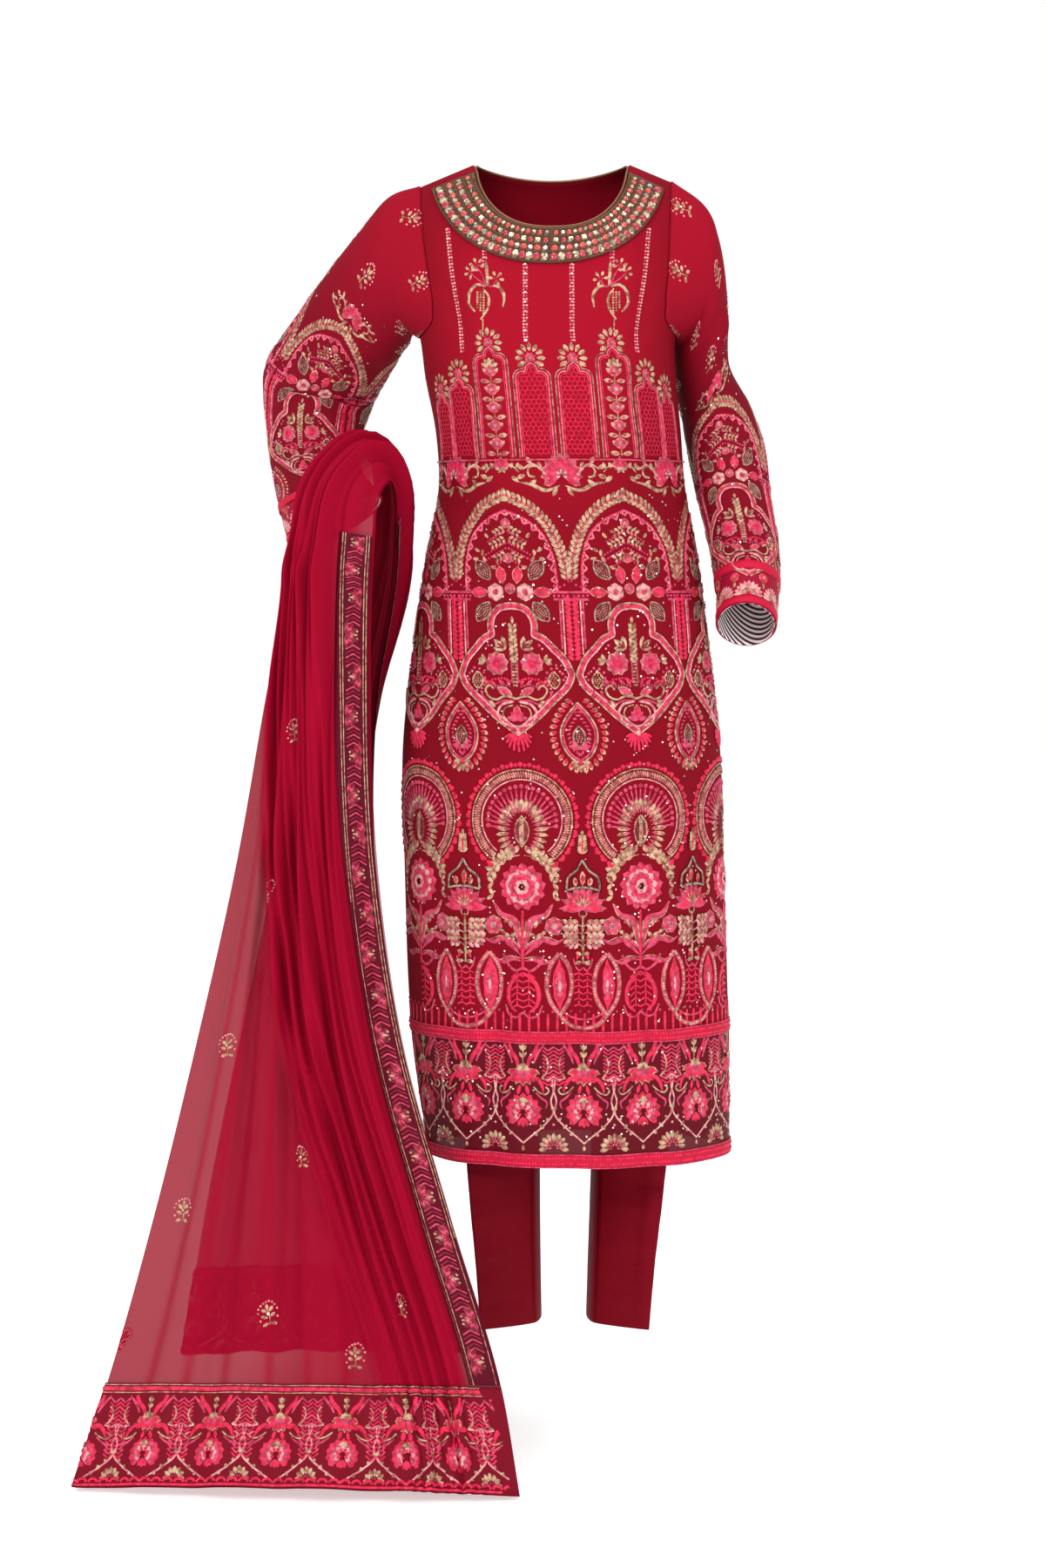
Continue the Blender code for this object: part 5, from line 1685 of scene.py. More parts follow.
def sleeve_cloth(side, low=0.0, high=1.0, shift=0.0):
    """A creased sleeve; side is where it shows from the front, and shift turns its seam away."""
    rows, table = SLEEVE_LEFT, SLEEVE_LEFT_CREASES
    if side == "left":
        rows, table = SLEEVE_RIGHT, SLEEVE_RIGHT_CREASES

    def plain(u, v):
        return sleeve(np.mod(u, 1.0), v, rows, side)

    def place(u, v):
        turned, up = u + shift, low + (high - low) * v
        deep = creases(table, np.mod(turned, 1.0) * SLEEVE_WIDE, up * SLEEVE_LONG[side], SLEEVE_WIDE)
        deep *= window(1 - up, 0.0, CREASE_FADE) * window(up, 0.0, CREASE_FADE)
        out = normals(plain, np.clip(np.mod(turned, 1.0), 2e-4, 1 - 2e-4), np.clip(up, 1e-3, 1 - 1e-3))
        return plain(turned, up) + out * deep[..., None]

    return place


SLEEVE_LONG = {"left": 0.52, "right": 0.50}


def sleeve_chart(side):
    """A chart of a whole sleeve from its cuff, t = 0, to its armhole; its axis faces forward."""
    place = sleeve_cloth(side, shift=SLEEVE_SHIFT[side])
    up = np.linspace(0, 1, 101)
    middle = place(np.full_like(up, 0.5), up)
    way = way_along(middle)
    return chart(place, way, -0.20, 0.20, lambda t: 0.5, WALL)


# ---------------------------------------------------------------- where the embroidery goes

UNIT = 135.0
HALF = UNIT / 2


def chest_drawing():
    """Sequin lines, hanging sprays and the row of niches."""
    made = Drawing()
    made.both(sequin_line([(26, -121), (26, -212)]))
    made.both(sequin_line([(72, -100), (72, -124)]))
    made.both(sequin_line(curve((116, -77), (112, -130), (107, -180), (105, -222))))
    made.both(hanging_spray(), 70, -120, 1.25)
    niches = ((23.5, 18.0, 104.0), (70.5, 18.0, 122.0), (115.5, 17.0, 89.0), (151, 15.0, 74.0))
    for x, half, tall in niches:
        filling = flower_ladder(tall) if tall > 120 else lattice(half - 3, tall - 2, NICHE_HEAD)
        made.both(framed_niche(half, tall, filling), x, -339)
    made.add(belt(HALF), 0, -351)
    for x in (-UNIT, 0, UNIT):
        made.add(palmette(1.35), x, -358)
    for x in (-170, 170):
        made.add(flower(ROSE, GOLD, BLUSH, 6, 7), x, -350)
    made.cord(ROSE, [(-190, -341), (190, -341)], 1.6)
    return made


def stacked(*motifs):
    """Motifs one under the other on an axis at 0, each at its own height."""
    made = Drawing()
    for motif, y in motifs:
        made.add(motif, 0, y)
    return made


def arch_unit():
    """One unit of the middle: arch, bouquet, cartouche and tassel."""
    return stacked((arch(), -390), (bouquet(), -489), (cartouche(), -504), (tassel(), -645))


def wheel_unit():
    """One unit of the lower part: the wheel over the rose bush."""
    return stacked((wheel(), -741), (rose_bush(), -815))


def axis_unit():
    """What hangs between the units."""
    return stacked((drop(), -647), (lotus(), -834), (mandorlas(), -924))


def bars(half):
    """A row of short bars in pairs over the lace tape."""
    made = Drawing()
    for x in np.arange(-half, half, 10.4):
        made.cord(PINK, [(x, -955), (x, -975)], 3.0, 0.3)
        made.knot(ROSE, x + 5.2, -953, 3.0)
    return made


def row_of(unit, first, count):
    made = Drawing()
    for number in range(count):
        made.add(unit, first + number * UNIT, 0)
    return made


def sprigs(places, scale=1.0, dark=False, seed=3):
    """Sprigs at x, y in millimetres, none quite alike."""
    random = np.random.default_rng(seed)
    made = Drawing()
    for x, y in places:
        size, turn = scale * random.uniform(0.9, 1.1), random.uniform(-14, 14)
        made.add(sprig(dark), x, y, size, turn, random.random() < 0.5)
    return made


def staggered(low_x, high_x, low_y, high_y, pitch):
    """Places for sprigs in staggered rows."""
    places = []
    for row, y in enumerate(np.arange(low_y, high_y, pitch * 0.8)):
        for x in np.arange(low_x + (row % 2) * pitch / 2, high_x, pitch):
            places.append((x, y))
    return places


def sleeve_drawing(side):
    """The arch unit turned round the forearm, with sprigs above; t = 0 is the cuff."""
    made = Drawing()
    top = 330 if side == "left" else 300
    for turn in (-110, 0, 110):
        unit = Drawing()
        for motif, lower in ((arch(), 0), (bouquet(), 79), (cartouche(), 91)):
            unit.add(motif, 0, top - 60 - lower, 0.80)
        made.add(unit, turn, 0)
        made.add(palmette(0.9), turn, top - 34)
    for turn in (-55, 55, 165):
        made.add(drop(), turn, 66, 0.7)
    made.add(sprigs(staggered(-170, 180, top + 12, 520, 78), 1.05, False, 5))
    return made


def cuff_drawing():
    """Half sunbursts and the striped inside of the cuff."""
    made = Drawing()
    burst = fan(BLUSH, ROSE, 11, 5.0, 4, 176, 13, 4.2, 0.6)
    burst.add(fan(GOLD, PINK, 7, 3.0, 10, 170, 7, 3.0, 0.6))
    for turn in np.arange(-170, 171, 34):
        made.add(burst, turn, 12)
        made.add(flower(PINK, GOLD, BLUSH, 5, 6), turn + 17, 36)
        made.leaf(GOLD, turn + 17, 22, 90, 8, 4, 0.5)
    made.cord(ROSE, [(-185, 46), (185, 46)], 1.8)
    return made


# Sprigs of the veil in the millimetres of its chart: across, up, and whether the thread is dark.
VEIL_SPRIGS = (
    (-180, 990, True),
    (-235, 885, True),
    (-5, 815, False),
    (-60, 636, False),
    (-210, 537, True),
    (-80, 467, False),
    (-245, 358, True),
    (22, 348, False),
    (-128, 288, False),
    (-408, 259, True),
    (-403, 219, True),
    (-303, 179, True),
    (-20, 179, False),
    (172, 189, False),
    (-198, 150, True),
    (82, 134, False),
)


# ---------------------------------------------------------------- materials

THREAD_PATCH = 0.005
WAVE_SCALE = 0.314  # of a wave texture whose bands are one unit apart


def srgb(code):
    """A linear colour from an sRGB hex code."""
    value = np.array([int(code[i : i + 2], 16) for i in (0, 2, 4)]) / 255
    linear = np.where(value <= 0.04045, value / 12.92, ((value + 0.055) / 1.055) ** 2.4)
    return (*(float(part) for part in linear), 1.0)


def add_node(tree, kind, inputs=None, **settings):
    """A shader node with its settings; an input is a value or the output socket that feeds it."""
    node = tree.nodes.new(kind)
    for name, value in settings.items():
        setattr(node, name, value)
    for name, value in (inputs or {}).items():
        if isinstance(value, bpy.types.NodeSocket):
            tree.links.new(value, node.inputs[name])
        else:
            node.inputs[name].default_value = value
    return node


def plain(name, colour, roughness, **more):
    """A Principled material; more sets the shader's own inputs by name, with _ for a space."""
    made = bpy.data.materials.new(name)
    made.use_nodes = True
    shader = made.node_tree.nodes["Principled BSDF"]
    shader.inputs["Base Color"].default_value = colour
    shader.inputs["Roughness"].default_value = roughness
    for key, value in more.items():
        shader.inputs[key.replace("_", " ")].default_value = value
    made.diffuse_color = colour
    return made


def object_place(tree):
    """The place of each point in the object's own metres."""
    return add_node(tree, "ShaderNodeTexCoord").outputs["Object"]


def share_between(tree, value, low, high):
    """How far a value is from low to high, from 0 to 1."""
    limits = {"Value": value, "From Min": low, "From Max": high}
    return add_node(tree, "ShaderNodeMapRange", limits).outputs[0]


def bumped(tree, height, strength, deep):
    """Leans the shader's normal by a height."""
    lift = add_node(tree, "ShaderNodeBump", {"Height": height, "Strength": strength, "Distance": deep})
    tree.links.new(lift.outputs[0], tree.nodes["Principled BSDF"].inputs["Normal"])


def blended(tree, factor, first, second):
    """Feeds the shader's colour from a mix of two."""
    mix = add_node(tree, "ShaderNodeMix", {"Factor": factor}, data_type="RGBA")
    colours = [socket for socket in mix.inputs if socket.type == "RGBA"]
    colours[0].default_value, colours[1].default_value = first, second
    shade = [socket for socket in mix.outputs if socket.type == "RGBA"][0]
    tree.links.new(shade, tree.nodes["Principled BSDF"].inputs["Base Color"])


def mottled(made, bump, bump_pitch, deep=0.0002, colours=None, pitch=0.06, stretch=(1, 1, 1)):
    """Gives a material a cloudy colour and a fine weave, in the object's own metres."""
    tree = made.node_tree
    spread = add_node(tree, "ShaderNodeMapping", {"Vector": object_place(tree), "Scale": stretch}).outputs[0]
    if colours:
        cloud = add_node(tree, "ShaderNodeTexNoise", {"Vector": spread, "Scale": 1 / pitch, "Detail": 4.0})
        blended(tree, cloud.outputs["Fac"], *colours)
    weave = {"Vector": spread, "Scale": 1 / bump_pitch, "Detail": 2.0}
    bumped(tree, add_node(tree, "ShaderNodeTexNoise", weave).outputs["Fac"], bump, deep)
    return made


def threaded(name, dark, light, pitch=0.42, strength=0.5, **more):
    """A thread: it shades from dark to light every few millimetres, with fine strands across each stitch."""
    made = plain(name, srgb(light), 0.42, **more)
    tree = made.node_tree
    cloud = {"Vector": object_place(tree), "Scale": 1 / THREAD_PATCH, "Detail": 2.0}
    patch = add_node(tree, "ShaderNodeTexNoise", cloud).outputs["Fac"]
    blended(tree, share_between(tree, patch, 0.36, 0.60), srgb(dark), srgb(light))
    where = add_node(tree, "ShaderNodeUVMap", uv_map="stitch").outputs[0]
    strands = {"Vector": where, "Scale": WAVE_SCALE / pitch, "Distortion": 0.6}
    wave = add_node(tree, "ShaderNodeTexWave", strands, bands_direction="X")
    bumped(tree, wave.outputs["Fac"], strength, 0.0002)
    return made


def striped(made, pale, dark, pitch):
    """Woven stripes that run aslant."""
    tree = made.node_tree
    bands = {"Vector": object_place(tree), "Scale": WAVE_SCALE / pitch}
    wave = add_node(tree, "ShaderNodeTexWave", bands, bands_direction="DIAGONAL").outputs["Fac"]
    blended(tree, share_between(tree, wave, 0.45, 0.55), srgb(pale), srgb(dark))
    return made


def painted_glints(made, dark, light, size):
    """Cut stone: painted reflections, a light or a dark colour for each small cell, stand in for facets that
    each catch the light in their own way.
    """
    tree = made.node_tree
    cells = add_node(tree, "ShaderNodeTexVoronoi", {"Vector": object_place(tree), "Scale": 1 / size})
    share = add_node(tree, "ShaderNodeSeparateXYZ", {"Vector": cells.outputs["Color"]}).outputs["X"]
    # painted reflections and shade: each cell takes its own colour between dark and light
    blended(tree, share, srgb(dark), srgb(light))
    return made


def georgette(name, deep, lit_colour, centre=(0.0, 0.0, -0.17), reach=(0.15, 1e6, 0.25)):
    """Crimson georgette: matt crepe, brightest at a centre and deeper within a reach of it; this change is
    painted light and shade, the lit colour at the centre and painted shade towards the deep colour further
    out.
    """
    made = mottled(plain(name, srgb(lit_colour), 0.85, Specular_IOR_Level=0.08), 0.5, 0.0011)
    tree = made.node_tree
    scale = tuple(1 / size for size in reach)
    shift = tuple(-place / size for place, size in zip(centre, reach))
    placed = {"Vector": object_place(tree), "Location": shift, "Scale": scale}
    near = add_node(tree, "ShaderNodeMapping", placed).outputs[0]
    far = add_node(tree, "ShaderNodeVectorMath", {0: near}, operation="LENGTH").outputs["Value"]
    # painted shade: the colour turns from the lit colour at the centre to the deep colour away from it
    blended(tree, share_between(tree, far, 0.55, 1.05), srgb(lit_colour), srgb(deep))
    return made


def organza():
    """Maroon organza: darker, smoother and a little see-through."""
    return plain("maroon organza", srgb("5c0616"), 0.55, Alpha=0.88, Specular_IOR_Level=0.1)


def pink_braid():
    return plain("pink braid", srgb("b80f33"), 0.6, Specular_IOR_Level=0.15)


def raw_silk():
    """Wine raw silk: a low gloss broken by level slubs."""
    made = plain("wine raw silk", srgb("720618"), 0.65, Specular_IOR_Level=0.06)
    shades = (srgb("5c0310"), srgb("82061c"))
    return mottled(made, 0.7, 0.0016, 0.0005, shades, 0.010, (1.0, 1.0, 8.0))


def chiffon():
    """Crimson chiffon: sheer, so that its colour deepens with every thickness that lies together."""
    made = plain("crimson chiffon", srgb("900424"), 0.8, Specular_IOR_Level=0.05)
    tree = made.node_tree
    cover = add_node(tree, "ShaderNodeAttribute", attribute_name="cover")
    tree.links.new(cover.outputs["Fac"], tree.nodes["Principled BSDF"].inputs["Alpha"])
    return made


def thread_looks():
    """The seven threads of the embroidery, in the order of their names."""
    zari = {"pitch": 0.50, "strength": 0.7, "Metallic": 0.55}
    return [
        threaded("pink rayon thread", "a80c30", "dc1c48", Specular_IOR_Level=0.3),
        threaded("rose silk thread", "9c1f3e", "cf4264", Specular_IOR_Level=0.3),
        threaded("blush silk thread", "b45c68", "de9f9b", Specular_IOR_Level=0.3),
        threaded("antique gold zari", "855140", "c9a987", **zari),
        threaded("old silver zari", "5c4a40", "ad9c88", **zari),
        threaded("ruby silk thread", "5a0416", "8a0c28", Specular_IOR_Level=0.3),
        plain("clear sequin", srgb("f0d9cf"), 0.12, Metallic=0.9),
    ]


def stone_looks():
    """Beads, settings and stones of the yoke, in the order of their names."""
    return [
        plain("bronze seed beads", srgb("6b4a34"), 0.36, Metallic=0.75),
        plain("dark silver setting", srgb("4c3d38"), 0.35, Metallic=0.85),
        # painted reflections: the champagne crystal and the clear rhinestone get a light or dark colour for
        # each facet-sized cell, over their own hue
        painted_glints(plain("champagne crystal", srgb("e9cfae"), 0.12, Metallic=0.6), "4a3c24", "f3e3ba", 0.0030),
        plain("crimson cabochon", srgb("9c1026"), 0.12, Coat_Weight=0.8),
        plain("amber red stone", srgb("b5381f"), 0.14, Coat_Weight=0.8),
        painted_glints(plain("clear rhinestone", srgb("dfe0e4"), 0.08, Metallic=0.6), "5b5148", "f4efe6", 0.0022),
    ]


# ---------------------------------------------------------------- the veil with its gathers

# Gathers bunched by the open edges: how far in from them each lies at the floor, over the forearm
# and at the back end, its depth and its width.
BUNCH = in_metres(
    (41, 35, 31, 11.8, 3.4),
    (50.5, 41.8, 37.7, 17.7, 3.8),
    (56.7, 46.7, 42.5, 13.4, 3.1),
    (66.8, 53.9, 49.6, 18.7, 3.7),
    (72.9, 58.6, 54.3, 14.4, 3.4),
    (83, 65.8, 61.4, 19.3, 3.9),
    (92, 72.4, 67.8, 12.8, 3.2),
    (97.9, 77, 72.4, 17.1, 3.6),
    (108, 84.2, 79.5, 15, 3.4),
    (114.9, 89.5, 84.6, 18.2, 3.7),
    (124.9, 96.6, 91.7, 12.3, 3.6),
    (132, 102, 97, 10.7, 4.2),
)
# Soft folds of the sheer part: the share of the width at the floor, over the forearm and at the
# back end, the depth and the width as a share.
SOFT_FOLDS = (
    (0.400, 0.620, 0.640, 0.0070, 0.026),
    (0.500, 0.690, 0.700, 0.0060, 0.022),
    (0.590, 0.750, 0.760, 0.0048, 0.026),
    (0.690, 0.810, 0.820, 0.0060, 0.024),
    (0.780, 0.870, 0.880, 0.0045, 0.024),
    (0.880, 0.930, 0.940, 0.0050, 0.020),
)
GATHER_LENGTHS = (0.0, 0.300, 0.660, 1.000, 1.140, 1.300, 1.600, 2.255)
GATHER_STRENGTH = (0.30, 0.85, 1.00, 1.05, 0.50, 0.95, 1.05, 0.40)
GATHER_TURNS = (0.0, 0.45, 1.14, 1.75, 2.255)
GATHER_SWAY = 0.0016
BUNCHED = 1.7
NEARER = 0.55
BEHIND_THIN = 0.40  # the outer part of the back fall lies less dense
STREAK = 0.32
STREAK_WIDE = 0.011
STREAK_SWAY = 0.02
FOLD_SWAY = 5.1  # turns of the folds' sway, in radians a metre
VEIL_BORDER_WIDE = 0.034
VEIL_END_LONG = 0.104


def veil_chord(length):
    """How wide the folded veil is at a length."""
    row = smooth(VEIL_TABLE[:, 0], VEIL_TABLE[:, 1:7], length)
    return np.linalg.norm(row[..., 0:3] - row[..., 3:6], axis=-1)


def gathers(share, length):
    """How far the gathers push both layers of the veil out."""
    chord = veil_chord(length)
    total = np.zeros_like(share)
    for table, place, sway in ((BUNCH, share * chord, GATHER_SWAY), (SOFT_FOLDS, share, 4 * GATHER_SWAY)):
        for number, (floor, arm, back, depth, width) in enumerate(table):
            at = np.interp(length, GATHER_TURNS, (floor, floor, arm, back, back))
            at = at + sway * np.sin(length * FOLD_SWAY + number * 2.3)
            total += depth * np.exp(-(((place - at) / width) ** 2))
    edges = window(share * chord, VEIL_BORDER_WIDE, 1.2 * VEIL_BORDER_WIDE) * window(1 - share, 0.0, 0.06)
    return total * np.interp(length, GATHER_LENGTHS, GATHER_STRENGTH) * edges


def layers_at(u, v):
    """How many thicknesses of chiffon lie together at a point of one layer of the veil."""
    length = VEIL_TABLE[-1, 0] * v
    share = veil_share(1 - u)
    away = share * veil_chord(length)
    bunched = window(away, VEIL_BORDER_WIDE, 1.4 * VEIL_BORDER_WIDE) * window(0.140 - away, 0.0, 0.020)
    nearer = NEARER * window(1 - share, 0.30, 0.80) * window(share, 0.10, 0.20)
    streaks = 0
    for floor, *_ in SOFT_FOLDS:
        off = share - floor - STREAK_WIDE - STREAK_SWAY * np.sin(length * FOLD_SWAY + floor * 9)
        streaks = streaks + STREAK * np.exp(-((off / STREAK_WIDE) ** 2))
    hanging_behind = window(length - VEIL_JOINS[1], 0.0, 0.25) * window(share, 0.10, 0.35)
    return (1 + BUNCHED * bunched + (nearer + streaks) * (1 - bunched)) * (1 - BEHIND_THIN * hanging_behind)


def veil_cloth(low=0.0, high=VEIL[-1][0]):
    """The gathered veil between two lengths."""

    def place(u, v):
        length = low + (high - low) * v
        share, out = veil_across(u, v, low, high)
        return veil(u, v, low, high) + out * gathers(share, length)[..., None]

    return place


def veil_across(u, v, low, high):
    """How far across its fold a point of the veil is, and the way out there."""
    return veil_share(1 - u), veil_rows(low + (high - low) * v)[1]


def edge_strip(low, high):
    """A strip of the outer layer along its open edge, as wide all the way."""
    whole = veil_cloth(low, high)

    def place(u, v):
        share = VEIL_BORDER_WIDE * (1 - u) / veil_chord(low + (high - low) * v)
        inner = np.interp(share, (0, VEIL_EDGE, 1), (0, VEIL_EDGE_U, 0.5 - VEIL_TURN))
        return whole(1 - inner, v)

    return place


def half_turned(place):
    """A surface turned half round in its own plane, for what hangs down behind."""
    return lambda u, v: place(1 - u, 1 - v)


def veil_strips():
    """The borders of the veil: name, surface and length, each with its own lower end at v = 0."""
    end = VEIL_TABLE[-1, 0]
    front, back = VEIL_END_LONG, end - VEIL_END_LONG
    gap = VEIL_BORDER_GAP
    return (
        ("end_front", veil_cloth(0.0, front), front),
        ("end_back", half_turned(veil_cloth(back, end)), front),
        ("edge_front", edge_strip(front + gap, VEIL_JOINS[0]), VEIL_JOINS[0] - front - gap),
        ("edge_back", half_turned(edge_strip(VEIL_JOINS[1], back - gap)), back - gap - VEIL_JOINS[1]),
    )


# ---------------------------------------------------------------- making pieces


def grid_mesh(name, place, across, up, closed=False):
    """A grid of quads laid on a surface, its round edges merged where the surface is a tube."""
    cage = bmesh.new()
    bmesh.ops.create_grid(cage, x_segments=across, y_segments=up, size=0.5)
    uv = np.array([vertex.co[:2] for vertex in cage.verts]) + 0.5
    for vertex, point in zip(cage.verts, place(uv[:, 0], uv[:, 1])):
        vertex.co = point
    if closed:
        bmesh.ops.remove_doubles(cage, verts=cage.verts, dist=1e-5)
    mesh = bpy.data.meshes.new(name)
    cage.to_mesh(mesh)
    cage.free()
    return mesh


def taken_up(piece, nodes=(), slot=None):
    """A finished piece, moving with the suit."""
    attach(piece, "root")
    if nodes:
        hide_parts(*nodes)
    return piece


def cloth(name, place, across, up, look, nodes=(), slot=None, closed=False, wall=WALL):
    """A cloth piece: a surface thickened outwards, or a single sheer surface when the wall is 0."""
    mesh = grid_mesh(name, place, across, up, closed)
    mesh.materials.append(look)
    mesh.shade_smooth()
    piece = added(name, mesh)
    if wall:
        solid = piece.modifiers.new("thickness", "SOLIDIFY")
        solid.thickness = wall
        solid.offset = 1.0
        solid.use_even_offset = False
    return taken_up(piece, nodes, slot)


def scattered(name, groups, looks, smooth_faces=True):
    """One mesh of many small shapes; a group is a shape, its places, its frames, its sizes and its look."""
    points, faces, shades, total = [], [], [], 0
    for make, centres, frames, sizes, shade in groups:
        shape, shape_faces = shape_of(make)
        grid = shape[None, :, :] * sizes[:, None, :]
        placed = centres[:, None, :] + np.einsum("nkj,nji->nki", grid, frames)
        points.append(placed.reshape(-1, 3))
        starts = total + np.arange(len(centres)) * len(shape)
        for face in shape_faces:
            faces.append(starts[:, None] + np.array(face))
            shades.append(np.full(len(starts), shade))
        total += len(centres) * len(shape)
    points = np.concatenate(points)
    piece = mesh_from(name, points, faces, np.concatenate(shades), np.zeros((len(points), 2)), looks)
    if not smooth_faces:
        piece.data.shade_flat()
    return piece


def frames_on(place, u, v):
    """Points of a surface and the frame there: along u, up and out."""
    points = place(u, v)
    out = normals(place, u, v)
    step = 1e-4
    side = place(np.clip(u + step, 0, 1), v) - place(np.clip(u - step, 0, 1), v)
    side /= np.linalg.norm(side, axis=1, keepdims=True)
    return points, np.stack([side, np.cross(out, side), out], axis=1)


# ---------------------------------------------------------------- the yoke

BEAD, SETTING, CHAMPAGNE, CRIMSON, AMBER, CLEAR = range(6)
BEAD_PITCH = 0.0023
YOKE_MARGIN = 0.012
bead_shape = knot_shape


cabochon_shape = dome(14, 8)


def oval_cut_shape(cage):
    bmesh.ops.create_cone(cage, cap_ends=True, segments=10, radius1=0.5, radius2=0.30, depth=0.5)


def square_cut_shape(cage):
    bmesh.ops.create_cone(cage, cap_ends=True, segments=4, radius1=0.68, radius2=0.40, depth=0.5)
    turn = np.pi / 4
    for vertex in cage.verts:
        x, y, _ = vertex.co
        vertex.co.x = x * np.cos(turn) - y * np.sin(turn)
        vertex.co.y = x * np.sin(turn) + y * np.cos(turn)


def yoke_row(count, v, wide, tall, deep, lift, first, step):
    """Places along the yoke and sizes of one row of stones."""
    u = (np.arange(first, count, step) + 0.5) / count
    u = YOKE_MARGIN + (1 - 2 * YOKE_MARGIN) * u
    size = np.tile((wide, tall, deep), (len(u), 1))
    return u, np.full(len(u), v), size, np.full(len(u), lift)


STONE_FULL = 1.12


def yoke_groups(count):
    """Every row of the yoke, from its outer edge in."""
    top = LAY + YOKE_CLEAR + YOKE_WALL
    place = moved_out(yoke_place, top)
    rows = []

    def row(shape, shade, number, v, wide, tall, deep, lift=0.0, first=0, step=1):
        """Adds a row; its sizes are in millimetres."""
        full = 1.0 if shape is bead_shape else STONE_FULL
        size = [round(side / 1000, 6) * full for side in (wide, tall, deep)]
        rows.append((shape, shade, yoke_row(number, v, *size, lift / 1000, first, step)))

    row(bead_shape, BEAD, 168, 0.025, 2.6, 2.6, 3)
    row(bead_shape, BEAD, 160, 0.310, 2.4, 2.4, 2.6)
    row(bead_shape, BEAD, 150, 0.520, 2.4, 2.4, 2.6)
    row(bead_shape, BEAD, 140, 0.735, 2.3, 2.3, 2.6)
    row(bead_shape, BEAD, 130, 0.950, 2.4, 2.4, 2.8)
    row(cabochon_shape, SETTING, count, 0.165, 12.2, 13, 3, 0, 0, 2)
    row(oval_cut_shape, CHAMPAGNE, count, 0.165, 9.8, 10.6, 7, 1.6, 0, 2)
    row(cabochon_shape, SETTING, count, 0.165, 10.4, 11.6, 2.8, 0, 1, 2)
    row(cabochon_shape, CRIMSON, count, 0.165, 8.4, 9.6, 7, 0.6, 1, 2)
    row(cabochon_shape, SETTING, count - 2, 0.400, 10, 9.2, 2.8, 0, 0, 2)
    row(cabochon_shape, AMBER, count - 2, 0.400, 8, 7, 6.2, 0.6, 0, 2)
    row(cabochon_shape, SETTING, count - 2, 0.400, 9.2, 9.2, 2.6, 0, 1, 2)
    row(oval_cut_shape, CLEAR, count - 2, 0.400, 7, 7.2, 5.4, 1.2, 1, 2)
    row(cabochon_shape, SETTING, count - 6, 0.618, 9.6, 9.2, 2.6, 0, 0, 2)
    row(square_cut_shape, CHAMPAGNE, count - 6, 0.618, 7.6, 7.4, 5.8, 1.2, 0, 2)
    row(cabochon_shape, SETTING, count - 6, 0.618, 8, 9, 2.6, 0, 1, 2)
    row(cabochon_shape, CRIMSON, count - 6, 0.618, 6, 7.2, 5.4, 0.6, 1, 2)
    row(cabochon_shape, SETTING, count - 2, 0.835, 7.6, 8.4, 2.4)
    row(cabochon_shape, AMBER, count - 2, 0.835, 5.4, 6.2, 5, 0.6, 0, 2)
    row(oval_cut_shape, CHAMPAGNE, count - 2, 0.835, 5.6, 6.4, 5, 0.6, 1, 2)
    groups = []
    for shape, shade, (u, v, size, lift) in rows:
        points, frames = frames_on(place, u, v)
        points = points + frames[:, 2] * lift[:, None]
        groups.append((shape, points, frames, size, shade))
    return groups


def bead_ground():
    """Seed beads over the whole ground of the yoke, closely set and a little uneven."""
    random = np.random.default_rng(11)
    place = moved_out(yoke_place, LAY + YOKE_CLEAR + YOKE_WALL)
    u, v = [], []
    for number, up in enumerate(np.arange(0.045, 0.97, BEAD_PITCH / 0.046)):
        across = np.arange(0.006 + (number % 2) * 0.003, 0.994, BEAD_PITCH / 0.36)
        u.append(across + random.uniform(-0.0008, 0.0008, len(across)))
        v.append(np.full(len(across), up) + random.uniform(-0.008, 0.008, len(across)))
    u, v = np.clip(np.concatenate(u), 0.004, 0.996), np.concatenate(v)
    points, frames = frames_on(place, u, v)
    size = np.tile((0.0022, 0.0022, 0.0022), (len(u), 1)) * random.uniform(0.8, 1.15, (len(u), 1))
    return bead_shape, points, frames, size, BEAD


def crescent(turn, left, right, drop, roundness):
    """A point of a rounded U, from its lowest point at turn 0 to its upper ends at a quarter turn."""
    middle, half = (left + right) / 2, (right - left) / 2
    return middle + half * np.sign(turn) * np.abs(np.sin(turn)) ** (2 / roundness), -drop * np.cos(turn)


def yoke_place(u, v):
    """The crescent round the front of the neck; v runs from its outer edge to the neckline."""
    turn = 2 * u - 1
    inner_turn = turn * np.arccos(-YOKE_TOP / NECK_DROP_FRONT)
    outer_turn = turn * np.arccos((SHOULDER_SLOPE * (YOKE_RIGHT - NECK_RIGHT) - YOKE_TOP) / YOKE_OUTER_DROP)
    inner_x, inner_z = crescent(inner_turn, NECK_LEFT, NECK_RIGHT, NECK_DROP_FRONT, NECK_ROUND)
    outer_x, outer_z = crescent(outer_turn, YOKE_LEFT, YOKE_RIGHT, YOKE_OUTER_DROP, YOKE_ROUND)
    x = outer_x + (inner_x - outer_x) * v
    z = outer_z + (inner_z - outer_z) * v
    return np.stack([x, body_y(x, z, -1, ()), z], axis=-1)


def neck_loop(count):
    """The neck edge of front and back as one loop, with the way out and the way off the cloth's edge."""
    points, out = [], []
    for face, ends in ((-1, 0), (1, 1)):
        across = np.linspace(0.25, 0.75, count)[ends : count - ends]
        panel = tunic_cloth(face, LEVEL_ROWS, 0.0)
        top = np.ones_like(across)
        points.append(panel(across, top))
        out.append(normals(panel, across, top))
    points, out = np.concatenate(points), np.concatenate(out)
    along_edge = np.roll(points, -1, axis=0) - np.roll(points, 1, axis=0)
    free = np.cross(out, along_edge)
    return points, out, free / np.linalg.norm(free, axis=1)[:, None]


# ---------------------------------------------------------------- the pieces of the suit


